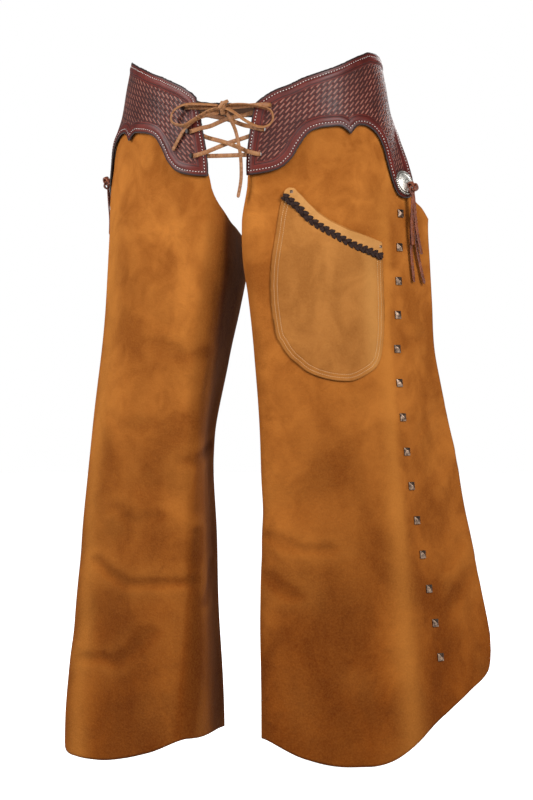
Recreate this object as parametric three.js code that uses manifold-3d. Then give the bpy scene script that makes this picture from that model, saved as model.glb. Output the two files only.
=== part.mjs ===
// Batwing chaps: two suede legs with swinging wings, hung from a stamped leather yoke laced in front.
// Millimetres. +X is the wearer's left, -Y the wearer's front, +Z up.
// The origin is the middle of the hips, level with the top lace holes.
import * as THREE from 'three';
import { mergeVertices } from 'three/addons/utils/BufferGeometryUtils.js';
import Module from 'manifold-3d';

const wasm = await Module();
wasm.setup();

// Driving sizes of the hips, the legs and the yoke.
const hipWidth = 386;
const hipDepth = 250;
const legLength = 918;
const yokeRise = 86;
const yokeDrop = 123;
const studToWing = 104;
const studToRidge = 62;

// Leather walls, and the clearances between layers that touch.
const legWall = 2.4;
const yokeWall = 3.6;
const pocketWall = 2;
const layerGap = 1.5;
const seatGap = 0.4;
const pocketGap = 0.9;
const studLift = 0.7;
const conchoLift = 1;
const lapGap = 1.2;

// Lap of the leg's back edge under the stud line, and the turn that leads to it.
const lapPast = 8;
const lapBack = 14;
const turnBack = 34;
const turnDepth = 22;

// Studs down the wing, the round silver conchos and the trim of the pocket.
const studCount = 14;
const studPitch = 47.7;
const studFirstDrop = 145;
const studWidth = 11;
const studEdge = 1.2;
const studPeak = 4.2;
const conchoWidth = 35;
const conchoRise = 6;
const conchoEdge = 1;
const conchoDrops = { left: 103, right: 80 };
const braidWidth = 9;
const braidThick = 3;
const pocketStudWidth = 7;
const pocketStudPeak = 3;

// Front lace and the thongs at the hips.
const laceWidth = 6;
const laceThick = 2;
const laceHole = 9;
const holeDrops = [0, 33, 67];
const holeAcross = [61, 53, 48];
const thongWidth = 5;
const thongThick = 1.8;
const thongDip = 9;
const knotSize = 11;
const knotRest = 0.6;
const laceRub = 1.2;
const laceStep = 2.6;
const laceRestBack = 16;
const laceEdge = 26;
const laceCross = [17, 50];
const restDrops = { upperBehind: 6, upperFront: 29, lowerBehind: 38, lowerFront: 62 };

// Strap and buckle that close the yoke behind the waist.
const strapWidth = 20;
const strapWall = 3;
const strapLevel = 0.3;
const strapBow = 2.5;
const strapGap = 0.55;
const buckleLength = 34;
const buckleHeight = 32;
const buckleBar = 4.6;
const buckleThick = 4;

const halfHip = hipWidth / 2;
const halfDepth = hipDepth / 2;
const sides = { left: 1, right: -1 };

// Heights of each layer's middle over the middle of the suede.
const yokeLift = legWall / 2 + layerGap + yokeWall / 2;
const pocketLift = legWall / 2 + pocketGap + pocketWall / 2;
const pocketTopLift = pocketLift + pocketWall / 2 + studLift;
const thongLift = yokeLift + yokeWall / 2 + conchoRise + knotSize / 2 + knotRest;
const strapLift = yokeLift + yokeWall / 2 + strapGap + strapWall / 2;

// How finely the sheets, straps and round pieces are cut into flat faces.
const legSteps = [4, 2, 3, 3, 3, 4, 4, 2, 2, 3, 2, 3, 1];
const legLevels = 17;
const levelCrowd = 1.4;
const yokeLevels = 7;
const yokePlaces = [
  0, 0.14, 0.3, 0.48, 0.7, 1, 1.22, 1.33, 1.4, 1.45, 1.49, 1.54, 1.62, 1.72, 1.85, 2, 2.16, 2.35, 2.55, 2.75,
  2.95, 3.15, 3.4, 3.67, 3.85, 3.96, 4.04, 4.12, 4.25, 4.48, 4.7, 4.98, 5.08, 5.17, 5.28, 5.42, 5.6, 5.75,
  5.88, 6,
];
const pocketLevels = 7;
const pocketSteps = [
  0, 0.016, 0.05, 0.062, 0.078, 0.12, 0.2, 0.3, 0.4, 0.5, 0.6, 0.7, 0.8, 0.88, 0.94, 0.98, 1,
];
const strapPlaces = [0, 0.1, 0.18, 0.26, 0.34, 0.42];
const laceSteps = 116;
const ribbonSteps = 19;
const thongSteps = 7;
const holeSides = 10;
const conchoSides = 16;
const domeRings = 3;
const knotSides = 8;
const knotRings = 6;

const leather = {
  suede: { color: 0xb87333, roughness: 0.95, metalness: 0 },
  pocket: { color: 0xc08347, roughness: 0.92, metalness: 0 },
  yoke: { color: 0x5a2420, roughness: 0.42, metalness: 0 },
  lace: { color: 0xa06a42, roughness: 0.7, metalness: 0 },
  braid: { color: 0x2a1c18, roughness: 0.6, metalness: 0 },
  thong: { color: 0x6b3a22, roughness: 0.7, metalness: 0 },
  strap: { color: 0x4c1f1b, roughness: 0.5, metalness: 0 },
};
const metal = {
  stud: { color: 0x8a6a5a, roughness: 0.35, metalness: 0.9 },
  silver: { color: 0xb9b4ac, roughness: 0.3, metalness: 1 },
};

// Plan sections of the hips and legs, wearer's left side. x is a share of half the hip width, y of half
// the hip depth. level is a share of the yoke's rise above the origin, of its drop down to hip level, and
// of the leg's length below that. The sheet runs wing, mid, stud, ridge, outer, inner, corner, thigh,
// calf, heel, back, turn, lap.
const hipRows = [
  { level: 1.1, width: 0.905, depth: 0.91 },
  { level: 0.5, width: 0.96, depth: 0.965 },
  { level: 0, width: 1, depth: 1 },
];
const hipAngles = { wing: 168, mid: 120, stud: 97, ridge: 76, outer: 55, inner: 33, corner: 8 };
const legRows = [
  { level: 0.04, corner: [0.15, -1.0], inner: [0.56, -0.855], outer: [0.842, -0.59], ridge: [1.018, -0.3],
    toStud: 0.62, toWing: 0.62, swing: 82, thigh: [0.11, -0.1], calf: [0.16, 0.45], heel: [0.42, 0.75],
    back: [0.8, 0.66] },
  { level: 0.082, corner: [0.153, -1.0], inner: [0.56, -0.862], outer: [0.848, -0.61], ridge: [1.03, -0.345],
    toStud: 0.62, toWing: 0.62, swing: 70, thigh: [0.11, -0.1], calf: [0.16, 0.45], heel: [0.42, 0.75],
    back: [0.8, 0.66] },
  { level: 0.12, corner: [0.163, -0.995], inner: [0.56, -0.882], outer: [0.86, -0.656], ridge: [1.045, -0.39],
    toStud: 0.57, toWing: 0.6, swing: 62, thigh: [0.1, -0.1], calf: [0.155, 0.45], heel: [0.42, 0.76],
    back: [0.81, 0.66] },
  { level: 0.175, corner: [0.13, -1.015], inner: [0.535, -0.928], outer: [0.845, -0.72],
    ridge: [1.052, -0.4], toStud: 0.5, toWing: 0.54, swing: 58, thigh: [0.088, -0.08],
    calf: [0.155, 0.46], heel: [0.41, 0.76], back: [0.83, 0.64] },
  { level: 0.225, corner: [0.14, -1.025], inner: [0.53, -0.97], outer: [0.834, -0.77], ridge: [1.062, -0.4],
    toStud: 0.42, toWing: 0.58, swing: 57, thigh: [0.088, -0.1], calf: [0.16, 0.44], heel: [0.41, 0.74],
    back: [0.84, 0.6] },
  { level: 0.29, corner: [0.182, -1.03], inner: [0.525, -1.0], outer: [0.826, -0.8], ridge: [1.076, -0.42],
    toStud: 0.34, toWing: 0.63, swing: 56, thigh: [0.14, -0.14], calf: [0.2, 0.38], heel: [0.44, 0.66],
    back: [0.84, 0.54] },
  { level: 0.38, corner: [0.223, -1.035], inner: [0.555, -1.01], outer: [0.865, -0.83],
    ridge: [1.105, -0.475], toStud: 0.24, toWing: 0.72, swing: 55, thigh: [0.225, -0.16],
    calf: [0.27, 0.26], heel: [0.49, 0.5], back: [0.84, 0.45] },
  { level: 0.52, corner: [0.268, -1.055], inner: [0.6, -1.035], outer: [0.93, -0.885], ridge: [1.165, -0.57],
    toStud: 0.34, toWing: 0.91, swing: 57, thigh: [0.335, -0.18], calf: [0.36, 0.13], heel: [0.55, 0.34],
    back: [0.87, 0.35] },
  { level: 0.66, corner: [0.282, -1.07], inner: [0.635, -1.055], outer: [0.975, -0.885], ridge: [1.22, -0.62],
    toStud: 0.58, toWing: 0.95, swing: 58, thigh: [0.31, -0.17], calf: [0.33, 0.1], heel: [0.55, 0.32],
    back: [0.93, 0.33] },
  { level: 0.79, corner: [0.272, -1.08], inner: [0.645, -1.07], outer: [0.985, -0.88], ridge: [1.27, -0.655],
    toStud: 0.86, toWing: 1, swing: 57, thigh: [0.292, -0.15], calf: [0.315, 0.13], heel: [0.55, 0.36],
    back: [0.99, 0.38] },
  { level: 0.92, corner: [0.287, -1.09], inner: [0.665, -1.09], outer: [1.02, -0.9], ridge: [1.325, -0.69],
    toStud: 1.02, toWing: 1, swing: 57, thigh: [0.265, -0.12], calf: [0.29, 0.18], heel: [0.55, 0.41],
    back: [1.04, 0.43] },
  { level: 1.01, corner: [0.292, -1.09], inner: [0.675, -1.09], outer: [1.03, -0.9], ridge: [1.335, -0.7],
    toStud: 1.08, toWing: 1, swing: 57, thigh: [0.26, -0.11], calf: [0.285, 0.19], heel: [0.55, 0.42],
    back: [1.05, 0.44] },
];

// Extra swing of each wing towards the back, in degrees, and how much further round its studs lie. Both
// are reached over this share of the leg's length.
const wingTurn = { left: 0, right: 27 };
const studShift = { left: 0, right: 12 };
const wingTurnEnd = 0.14;

// Places along the sheet, used by the edge tables below.
const place = {
  wing: 0, mid: 1, stud: 2, ridge: 3, outer: 4, inner: 5, corner: 6, thigh: 7, calf: 8, heel: 9, back: 10,
  turn: 11, lapStart: 12, lapEnd: 13,
};

// Top edge of the leg's suede, mostly hidden under the yoke. drop is a share of the yoke's drop.
const legTop = [
  { at: 0, drop: 1.22 }, { at: 0.5, drop: 1.1 }, { at: 1, drop: 1.02 }, { at: 1.6, drop: 0.86 },
  { at: 2, drop: 0.72 }, { at: 2.6, drop: 0.48 }, { at: 3, drop: 0.3 }, { at: 3.4, drop: 0.14 },
  { at: 4, drop: 0.09 }, { at: 4.6, drop: 0.09 }, { at: 5, drop: 0.18 }, { at: 5.35, drop: 0.5 },
  { at: 5.62, drop: 0.68 }, { at: 6, drop: 0.71 }, { at: 6.1, drop: 0.92 }, { at: 6.2, drop: 1.06 },
  { at: 6.33, drop: 1.16 }, { at: 6.5, drop: 1.265 }, { at: 6.66, drop: 1.31 }, { at: 7, drop: 1.39 }, { at: 8, drop: 1.5 }, { at: 9, drop: 1.56 }, { at: 10, drop: 1.5 },
  { at: 11, drop: 1.34 }, { at: 12, drop: 1.12 }, { at: 13, drop: 1.02 },
];

// Hem of each leg. left and right are shares of the leg's length.
const legHem = [
  { at: 0, left: 0.806, right: 0.82 }, { at: 0.1, left: 0.838, right: 0.845 },
  { at: 0.3, left: 0.862, right: 0.868 }, { at: 1, left: 0.887, right: 0.893 },
  { at: 2, left: 0.918, right: 0.925 }, { at: 2.5, left: 0.936, right: 0.95 },
  { at: 3, left: 0.962, right: 0.988 }, { at: 3.5, left: 0.984, right: 0.998 },
  { at: 4, left: 0.992, right: 1 }, { at: 4.6, left: 0.991, right: 0.994 },
  { at: 5.2, left: 0.98, right: 0.982 }, { at: 6, left: 0.953, right: 0.958 },
  { at: 7, left: 0.955, right: 0.958 }, { at: 9, left: 0.96, right: 0.96 },
  { at: 10.2, left: 0.945, right: 0.95 }, { at: 11, left: 0.905, right: 0.915 },
  { at: 13, left: 0.895, right: 0.9 },
];

// Upper edge of the yoke. The numbers are shares of the yoke's rise above the origin. The wearer's right
// half sits a little higher in front.
const yokeTop = [
  { at: 0, left: 0.41, right: 0.41 }, { at: 0.35, left: 0.41, right: 0.41 },
  { at: 0.5, left: 0.42, right: 0.42 }, { at: 0.62, left: 0.475, right: 0.475 },
  { at: 0.76, left: 0.61, right: 0.61 }, { at: 0.9, left: 0.715, right: 0.715 },
  { at: 1, left: 0.77, right: 0.77 }, { at: 1.4, left: 0.83, right: 0.83 },
  { at: 1.8, left: 0.875, right: 0.875 }, { at: 2.1, left: 0.91, right: 0.91 },
  { at: 2.5, left: 0.935, right: 0.935 }, { at: 3, left: 0.935, right: 0.935 },
  { at: 3.29, left: 0.89, right: 0.905 }, { at: 3.76, left: 0.785, right: 0.835 },
  { at: 4.23, left: 0.65, right: 0.74 }, { at: 4.7, left: 0.53, right: 0.615 },
  { at: 5.17, left: 0.405, right: 0.505 }, { at: 5.4, left: 0.33, right: 0.45 },
  { at: 5.68, left: 0.24, right: 0.36 }, { at: 5.92, left: 0.1, right: 0.235 },
  { at: 6, left: 0.03, right: 0.17 },
];

// Lower edge of the yoke: belt behind, tongue at the hip, and the scallop over the thigh. drop is a share
// of the yoke's drop. The cusp is the small point in the middle of the scallop.
const yokeFoot = [
  { at: 0, drop: -0.13 }, { at: 0.5, drop: -0.12 }, { at: 1, drop: -0.05 }, { at: 1.25, drop: -0.01 },
  { at: 1.36, drop: 0.06 }, { at: 1.42, drop: 0.2 }, { at: 1.46, drop: 0.4 }, { at: 1.5, drop: 0.62 },
  { at: 1.55, drop: 0.82 }, { at: 1.65, drop: 0.95 }, { at: 1.78, drop: 0.995 }, { at: 1.95, drop: 1 },
  { at: 2.15, drop: 0.985 }, { at: 2.38, drop: 0.93 }, { at: 2.63, drop: 0.78 }, { at: 3, drop: 0.45 },
  { at: 3.31, drop: 0.27 }, { at: 3.67, drop: 0.2 }, { at: 4.04, drop: 0.205 }, { at: 4.48, drop: 0.225 },
  { at: 4.76, drop: 0.25 }, { at: 4.98, drop: 0.31 }, { at: 5.14, drop: 0.44 }, { at: 5.25, drop: 0.58 },
  { at: 5.42, drop: 0.7 }, { at: 5.7, drop: 0.755 }, { at: 6, drop: 0.77 },
];
const cusp = { at: 4.04, depth: 0.1, reach: 0.3 };
const frontEdgeLean = 0.68;
const tongue = { at: 1.5, reach: 0.45, lean: 0.3, from: 0.35, to: 0.8 };

// Outline of the pocket on the wearer's left thigh, across from its inside edge. Both drops are shares of
// the leg's length below the origin.
const pocketRows = [
  { across: 0, top: 0.272, foot: 0.3 }, { across: 0.016, top: 0.2395, foot: 0.343 },
  { across: 0.05, top: 0.187, foot: 0.359 }, { across: 0.062, top: 0.138, foot: 0.364 },
  { across: 0.078, top: 0.1255, foot: 0.37 }, { across: 0.12, top: 0.1238, foot: 0.381 },
  { across: 0.15, top: 0.1295, foot: 0.386 }, { across: 0.25, top: 0.1475, foot: 0.4005 },
  { across: 0.41, top: 0.1686, foot: 0.4115 }, { across: 0.6, top: 0.1841, foot: 0.4155 },
  { across: 0.8, top: 0.1948, foot: 0.403 }, { across: 0.92, top: 0.2003, foot: 0.382 },
  { across: 0.98, top: 0.203, foot: 0.342 }, { across: 1, top: 0.204, foot: 0.3 },
];
const pocketEdges = { inside: 5.5, outside: 3.12 };
const braidRows = [
  { across: 0.062, drop: 0.136 }, { across: 0.148, drop: 0.15 }, { across: 0.294, drop: 0.174 },
  { across: 0.5, drop: 0.195 }, { across: 0.687, drop: 0.21 }, { across: 0.853, drop: 0.219 },
  { across: 0.985, drop: 0.2265 },
];
const pocketStuds = [{ across: 0.11, drop: 0.1305 }, { across: 0.965, drop: 0.2115 }];

// Where each thong hangs: its end's place along the sheet, its drop and how far it stands off the suede.
const thongEnds = {
  left: [
    { at: 0.58, drop: 244, lift: 6 }, { at: 1.18, drop: 242, lift: 5 }, { at: 0.9, drop: 203, lift: 12 },
    { at: 1.45, drop: 190, lift: 11 },
  ],
  right: [
    { at: 1.5, drop: 192, lift: 9 }, { at: 1.1, drop: 182, lift: 6 }, { at: 1.3, drop: 140, lift: 12 },
    { at: 1.9, drop: 165, lift: 13 },
  ],
};
const thongStart = 1.76;
const thongShares = [0.2, 0.45, 0.7, 1];
const thongSettle = 0.62;
const conchoPlace = 1.9;

// Free ends and loops of the bow: how far across, how far in front of the hips, and how high.
const bowRoutes = {
  bow_loop_left: [
    [-10.5, 14.5, 1.5], [-24, 16, 3], [-39, 17, 4], [-59, 15, 4.3], [-76, 11, -2.6],
    [-81.5, 9, -13.7], [-76, 11, -21.3], [-60, 16, -24.8], [-47, 18, -19], [-25, 20.5, -8],
    [-9, 20.5, -3],
  ],
  bow_loop_right: [
    [4.5, 14.5, 1], [18, 17, 1.5], [33, 17, 0.5], [50.7, 15, -2.6], [63.7, 11, -7],
    [68, 9.5, -17], [64, 10.5, -26], [55, 14, -30.5], [44, 17, -28.5], [29, 19.5, -20],
    [14, 21, -9], [3, 20.5, -3.5],
  ],
  bow_tail_left: [
    [-8.5, 13.5, -8], [-20, 14.5, -10.5], [-40, 14.5, -15.5], [-58, 10.5, -26.5],
    [-69.5, 6.5, -40], [-76, 4.5, -50], [-81, 2.5, -58],
  ],
  bow_tail_right: [
    [1.1, 14.2, -6.9], [8, 16, -18], [15, 15.5, -33], [19.5, 14.5, -52], [22, 13, -70],
    [22.5, 11.5, -88], [21.5, 10.5, -105], [17, 9.5, -127],
  ],
};
const laceKnot = { x: -3, out: 12.5, z: -2, width: 12, height: 10, depth: 9 };

function smooth(rows, key, value, at) {
  const last = rows.length - 1;
  let i = 0;
  while (i < last - 1 && at > rows[i + 1][key]) i += 1;
  const a = rows[Math.max(i - 1, 0)];
  const b = rows[i];
  const c = rows[i + 1];
  const d = rows[Math.min(i + 2, last)];
  const span = c[key] - b[key];
  const slope = (p, q) => (q[value] - p[value]) / Math.max(q[key] - p[key], 1e-9);
  const into = i > 0 && slope(a, b) * slope(b, c) > 0 ? slope(a, c) : 0;
  const out = i + 2 <= last && slope(b, c) * slope(c, d) > 0 ? slope(b, d) : 0;
  const start = i > 0 ? into : slope(b, c);
  const end = i + 2 <= last ? out : slope(b, c);
  const t = THREE.MathUtils.clamp((at - b[key]) / span, 0, 1);
  const t2 = t * t;
  const t3 = t2 * t;
  return (2 * t3 - 3 * t2 + 1) * b[value] + (t3 - 2 * t2 + t) * span * start
    + (3 * t2 - 2 * t3) * c[value] + (t3 - t2) * span * end;
}

// Control points of the plan section at every row, for one leg, from the wing round to the lap.
function sectionRows(side) {
  const rows = [];
  const hipPoint = (row, degrees) => {
    const turn = THREE.MathUtils.degToRad(degrees);
    return [halfHip * row.width * Math.sin(turn), -halfDepth * row.depth * Math.cos(turn)];
  };
  const legPoint = (share) => [halfHip * share[0], halfDepth * share[1]];
  const under = legRows[0];
  for (const row of hipRows) {
    const z = row.level > 0 ? row.level * yokeRise : row.level * yokeDrop;
    const front = ['wing', 'mid', 'stud', 'ridge', 'outer', 'inner', 'corner'];
    const points = front.map((name) => hipPoint(row, hipAngles[name]));
    const rest = ['thigh', 'calf', 'heel', 'back'].map((name) => legPoint(under[name]));
    rows.push({ z, points: [...points, ...rest, ...lapPoints(points[place.stud], 90)] });
  }
  for (const row of legRows) {
    const turned = Math.min(1, row.level / wingTurnEnd) ** 2;
    const swing = row.swing + wingTurn[side] * turned;
    const ridge = legPoint(row.ridge);
    const stud = along(ridge, swing, studToRidge * row.toStud + studShift[side] * turned);
    const mid = along(stud, swing, studToWing * row.toWing / 2);
    const wing = along(stud, swing, studToWing * row.toWing);
    const rest = ['outer', 'inner', 'corner', 'thigh', 'calf', 'heel', 'back'];
    const points = [wing, mid, stud, ridge, ...rest.map((name) => legPoint(row[name]))];
    rows.push({ z: -row.level * legLength, points: [...points, ...lapPoints(stud, swing)] });
  }
  return rows.reverse();
}

function along(start, degrees, distance, inward = 0) {
  const turn = THREE.MathUtils.degToRad(degrees);
  const x = start[0] + distance * Math.cos(turn) - inward * Math.sin(turn);
  const y = start[1] + distance * Math.sin(turn) + inward * Math.cos(turn);
  return [x, y];
}

// The back edge turns in behind the stud line and laps under it.
function lapPoints(stud, swing) {
  const inside = legWall + lapGap;
  return [
    along(stud, swing, turnBack, turnDepth),
    along(stud, swing, lapBack, inside),
    along(stud, swing, -lapPast, inside),
  ];
}

// The middle surface of one side's leather, as a function of the place along the sheet and the height.
function leatherSurface(side) {
  const rows = sectionRows(side);
  const columns = rows[0].points.length;
  const tracks = [];
  for (let i = 0; i < columns; i += 1) {
    tracks.push(rows.map((row) => ({ z: row.z, x: row.points[i][0], y: row.points[i][1] })));
  }
  const mirror = sides[side];
  return (at, z) => {
    const points = tracks.map((track) => {
      const x = smooth(track, 'z', 'x', z);
      return new THREE.Vector3(x, smooth(track, 'z', 'y', z), z);
    });
    const curve = new THREE.CatmullRomCurve3(points, false, 'centripetal');
    const point = curve.getPoint(THREE.MathUtils.clamp(at / (columns - 1), 0, 1));
    point.x *= mirror;
    return point;
  };
}

// Unit vector out of the leather at a place and height.
function outward(surface, side, at, z) {
  const step = 0.02;
  const rise = 2;
  const across = surface(Math.min(at + step, place.lapEnd), z).sub(surface(Math.max(at - step, 0), z));
  const up = surface(at, z + rise).sub(surface(at, z - rise));
  return across.cross(up).multiplyScalar(-sides[side]).normalize();
}

// A closed sheet of leather from a grid of middle points, with its normals, its wall and a lift.
function sheetGeometry(points, normals, wall, lift) {
  const rows = points.length;
  const columns = points[0].length;
  const vertices = [];
  const faces = [];
  for (const half of [lift + wall / 2, lift - wall / 2]) {
    for (let i = 0; i < rows; i += 1) {
      for (let j = 0; j < columns; j += 1) {
        const p = points[i][j].clone().addScaledVector(normals[i][j], half);
        vertices.push(p.x, p.y, p.z);
      }
    }
  }
  const outer = (i, j) => i * columns + j;
  const inner = (i, j) => rows * columns + i * columns + j;
  const quad = (a, b, c, d) => faces.push(a, b, c, a, c, d);
  for (let i = 0; i < rows - 1; i += 1) {
    for (let j = 0; j < columns - 1; j += 1) {
      quad(outer(i, j), outer(i, j + 1), outer(i + 1, j + 1), outer(i + 1, j));
      quad(inner(i, j), inner(i + 1, j), inner(i + 1, j + 1), inner(i, j + 1));
    }
  }
  for (let j = 0; j < columns - 1; j += 1) {
    quad(inner(0, j), inner(0, j + 1), outer(0, j + 1), outer(0, j));
    quad(outer(rows - 1, j), outer(rows - 1, j + 1), inner(rows - 1, j + 1), inner(rows - 1, j));
  }
  for (let i = 0; i < rows - 1; i += 1) {
    quad(inner(i, 0), outer(i, 0), outer(i + 1, 0), inner(i + 1, 0));
    quad(outer(i, columns - 1), inner(i, columns - 1), inner(i + 1, columns - 1), outer(i + 1, columns - 1));
  }
  return facingOut(vertices, faces);
}

function facingOut(vertices, faces) {
  let volume = 0;
  const corner = (i) => new THREE.Vector3().fromArray(vertices, faces[i] * 3);
  for (let i = 0; i < faces.length; i += 3) {
    volume += corner(i).dot(corner(i + 1).cross(corner(i + 2)));
  }
  if (volume < 0) {
    for (let i = 0; i < faces.length; i += 3) {
      [faces[i + 1], faces[i + 2]] = [faces[i + 2], faces[i + 1]];
    }
  }
  const geometry = new THREE.BufferGeometry();
  geometry.setAttribute('position', new THREE.Float32BufferAttribute(vertices, 3));
  geometry.setIndex(faces);
  geometry.computeVertexNormals();
  return geometry;
}

// Soft folds pressed into the suede: a place and level, how far each reaches, its slant and its depth.
const legFolds = {
  left: [
    { at: 0.6, level: 0.5, acrossReach: 0.9, levelReach: 0.045, slant: 0.05, depth: 4 },
    { at: 0.4, level: 0.68, acrossReach: 0.9, levelReach: 0.05, slant: 0.05, depth: -4 },
    { at: 0.2, level: 0.36, acrossReach: 0.7, levelReach: 0.05, slant: 0.02, depth: 3 },
    { at: 5.3, level: 0.6, acrossReach: 0.8, levelReach: 0.03, slant: 0.01, depth: 4 },
    { at: 3.6, level: 0.7, acrossReach: 0.35, levelReach: 0.2, slant: 0, depth: 4 },
  ],
  right: [
    { at: 5.4, level: 0.585, acrossReach: 0.6, levelReach: 0.035, slant: 0.02, depth: 5 },
    { at: 4.2, level: 0.66, acrossReach: 1, levelReach: 0.03, slant: -0.02, depth: 5 },
    { at: 3.6, level: 0.79, acrossReach: 0.6, levelReach: 0.03, slant: -0.02, depth: 4 },
    { at: 5.75, level: 0.72, acrossReach: 0.3, levelReach: 0.16, slant: 0, depth: 5 },
    { at: 0.5, level: 0.55, acrossReach: 0.8, levelReach: 0.07, slant: 0.04, depth: 4 },
  ],
};

function foldDepth(folds, at, level) {
  let depth = 0;
  for (const fold of folds) {
    const across = (at - fold.at) / fold.acrossReach;
    const up = (level - fold.level - fold.slant * (at - fold.at)) / fold.levelReach;
    depth -= fold.depth * Math.exp(-across * across - up * up);
  }
  return depth;
}

function legGeometry(side) {
  const surface = leatherSurface(side);
  const places = [];
  legSteps.forEach((steps, i) => {
    for (let k = 0; k < steps; k += 1) {
      const share = k / steps;
      places.push(i + (i === place.wing ? share * share : share));
    }
  });
  places.push(place.lapEnd);
  const points = [];
  const normals = [];
  for (let i = 0; i < legLevels; i += 1) {
    const share = 1 - (1 - i / (legLevels - 1)) ** levelCrowd;
    const pointRow = [];
    const normalRow = [];
    for (const at of places) {
      const top = -yokeDrop * smooth(legTop, 'at', 'drop', at);
      const hem = -legLength * smooth(legHem, 'at', side, at);
      const z = THREE.MathUtils.lerp(hem, top, share);
      const normal = outward(surface, side, at, z);
      const depth = foldDepth(legFolds[side], at, -z / legLength);
      pointRow.push(surface(at, z).addScaledVector(normal, depth));
      normalRow.push(normal);
    }
    points.push(pointRow);
    normals.push(normalRow);
  }
  return sheetGeometry(points, normals, legWall, 0);
}

function yokeFootDrop(at) {
  const near = Math.max(0, 1 - Math.abs(at - cusp.at) / cusp.reach);
  return smooth(yokeFoot, 'at', 'drop', at) + cusp.depth * near * near;
}

// The front edge leans back towards the top, where the yoke is cut away, and the tongue reaches further
// back towards its tip.
function yokePlace(at, z) {
  const rise = THREE.MathUtils.clamp((z + yokeDrop) / (yokeDrop + yokeRise), 0, 1);
  const fall = THREE.MathUtils.clamp((-z / yokeDrop - tongue.from) / (tongue.to - tongue.from), 0, 1);
  const near = Math.exp(-(((at - tongue.at) / tongue.reach) ** 2));
  return at - frontEdgeLean * rise * rise * Math.max(0, at - place.inner) - tongue.lean * fall * near;
}

function yokeGeometry(side) {
  const surface = leatherSurface(side);
  const points = [];
  const normals = [];
  for (let i = 0; i < yokeLevels; i += 1) {
    const pointRow = [];
    const normalRow = [];
    for (const at of yokePlaces) {
      const foot = -yokeDrop * yokeFootDrop(at);
      const top = yokeRise * smooth(yokeTop, 'at', side, at);
      const z = THREE.MathUtils.lerp(foot, top, i / (yokeLevels - 1));
      const shifted = yokePlace(at, z);
      pointRow.push(surface(shifted, z));
      normalRow.push(outward(surface, side, shifted, z));
    }
    points.push(pointRow);
    normals.push(normalRow);
  }
  return sheetGeometry(points, normals, yokeWall, yokeLift);
}

function solid(geometry) {
  const bare = geometry.clone();
  bare.deleteAttribute('normal');
  bare.deleteAttribute('uv');
  const merged = mergeVertices(bare, 1e-4);
  const vertProperties = new Float32Array(merged.attributes.position.array);
  const triVerts = new Uint32Array(merged.index.array);
  return new wasm.Manifold(new wasm.Mesh({ numProp: 3, vertProperties, triVerts }));
}

function fromSolid(body) {
  const mesh = body.getMesh();
  const geometry = new THREE.BufferGeometry();
  const positions = [];
  for (let i = 0; i < mesh.vertProperties.length; i += mesh.numProp) {
    positions.push(mesh.vertProperties[i], mesh.vertProperties[i + 1], mesh.vertProperties[i + 2]);
  }
  geometry.setAttribute('position', new THREE.Float32BufferAttribute(positions, 3));
  geometry.setIndex(Array.from(mesh.triVerts));
  geometry.computeVertexNormals();
  return geometry;
}

// Place along the sheet, between two places, where its middle surface reaches a distance across.
function placeAcross(surface, z, across, from, to) {
  let low = from;
  let high = to;
  for (let i = 0; i < 30; i += 1) {
    const middle = (low + high) / 2;
    if (Math.abs(surface(middle, z).x) > across) high = middle;
    else low = middle;
  }
  return (low + high) / 2;
}

// Centre and normal of each lace hole, on the middle of the yoke's wall.
function laceHoles(side) {
  const surface = leatherSurface(side);
  return holeDrops.map((drop, i) => {
    const at = placeAcross(surface, -drop, holeAcross[i], place.corner, place.inner);
    const normal = outward(surface, side, at, -drop);
    const centre = surface(at, -drop).addScaledVector(normal, yokeLift);
    return { centre, normal };
  });
}

function drillHoles(geometry, side) {
  let body = solid(geometry);
  for (const hole of laceHoles(side)) {
    const drill = new THREE.CylinderGeometry(laceHole / 2, laceHole / 2, yokeWall * 4, holeSides);
    const turn = new THREE.Quaternion().setFromUnitVectors(new THREE.Vector3(0, 1, 0), hole.normal);
    drill.applyQuaternion(turn);
    drill.translate(hole.centre.x, hole.centre.y, hole.centre.z);
    body = body.subtract(solid(drill));
  }
  return fromSolid(body);
}

// A flat strap along a list of points, each with the way its flat side faces there.
function strapGeometry(points, facings, width, thick, steps) {
  const path = new THREE.CatmullRomCurve3(points, false, 'centripetal');
  const vertices = [];
  const faces = [];
  const last = points.length - 1;
  for (let i = 0; i <= steps; i += 1) {
    const share = i / steps;
    const centre = path.getPoint(share);
    const tangent = path.getTangent(share);
    const index = Math.min(Math.floor(share * last), last - 1);
    const facing = facings[index].clone().lerp(facings[index + 1], share * last - index);
    facing.addScaledVector(tangent, -facing.dot(tangent)).normalize();
    const across = new THREE.Vector3().crossVectors(tangent, facing).normalize();
    for (const [u, v] of [[-1, -1], [1, -1], [1, 1], [-1, 1]]) {
      const corner = centre.clone().addScaledVector(across, u * width / 2);
      corner.addScaledVector(facing, v * thick / 2);
      vertices.push(corner.x, corner.y, corner.z);
    }
  }
  for (let i = 0; i < steps; i += 1) {
    for (let j = 0; j < 4; j += 1) {
      const a = i * 4 + j;
      const b = i * 4 + (j + 1) % 4;
      faces.push(a, b, b + 4, a, b + 4, a + 4);
    }
  }
  const end = steps * 4;
  faces.push(0, 2, 1, 0, 3, 2, end, end + 1, end + 2, end, end + 2, end + 3);
  return facingOut(vertices, faces);
}

function named(name, geometry, finish) {
  const mesh = new THREE.Mesh(geometry, new THREE.MeshStandardMaterial(finish));
  mesh.name = name;
  return mesh;
}

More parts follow.
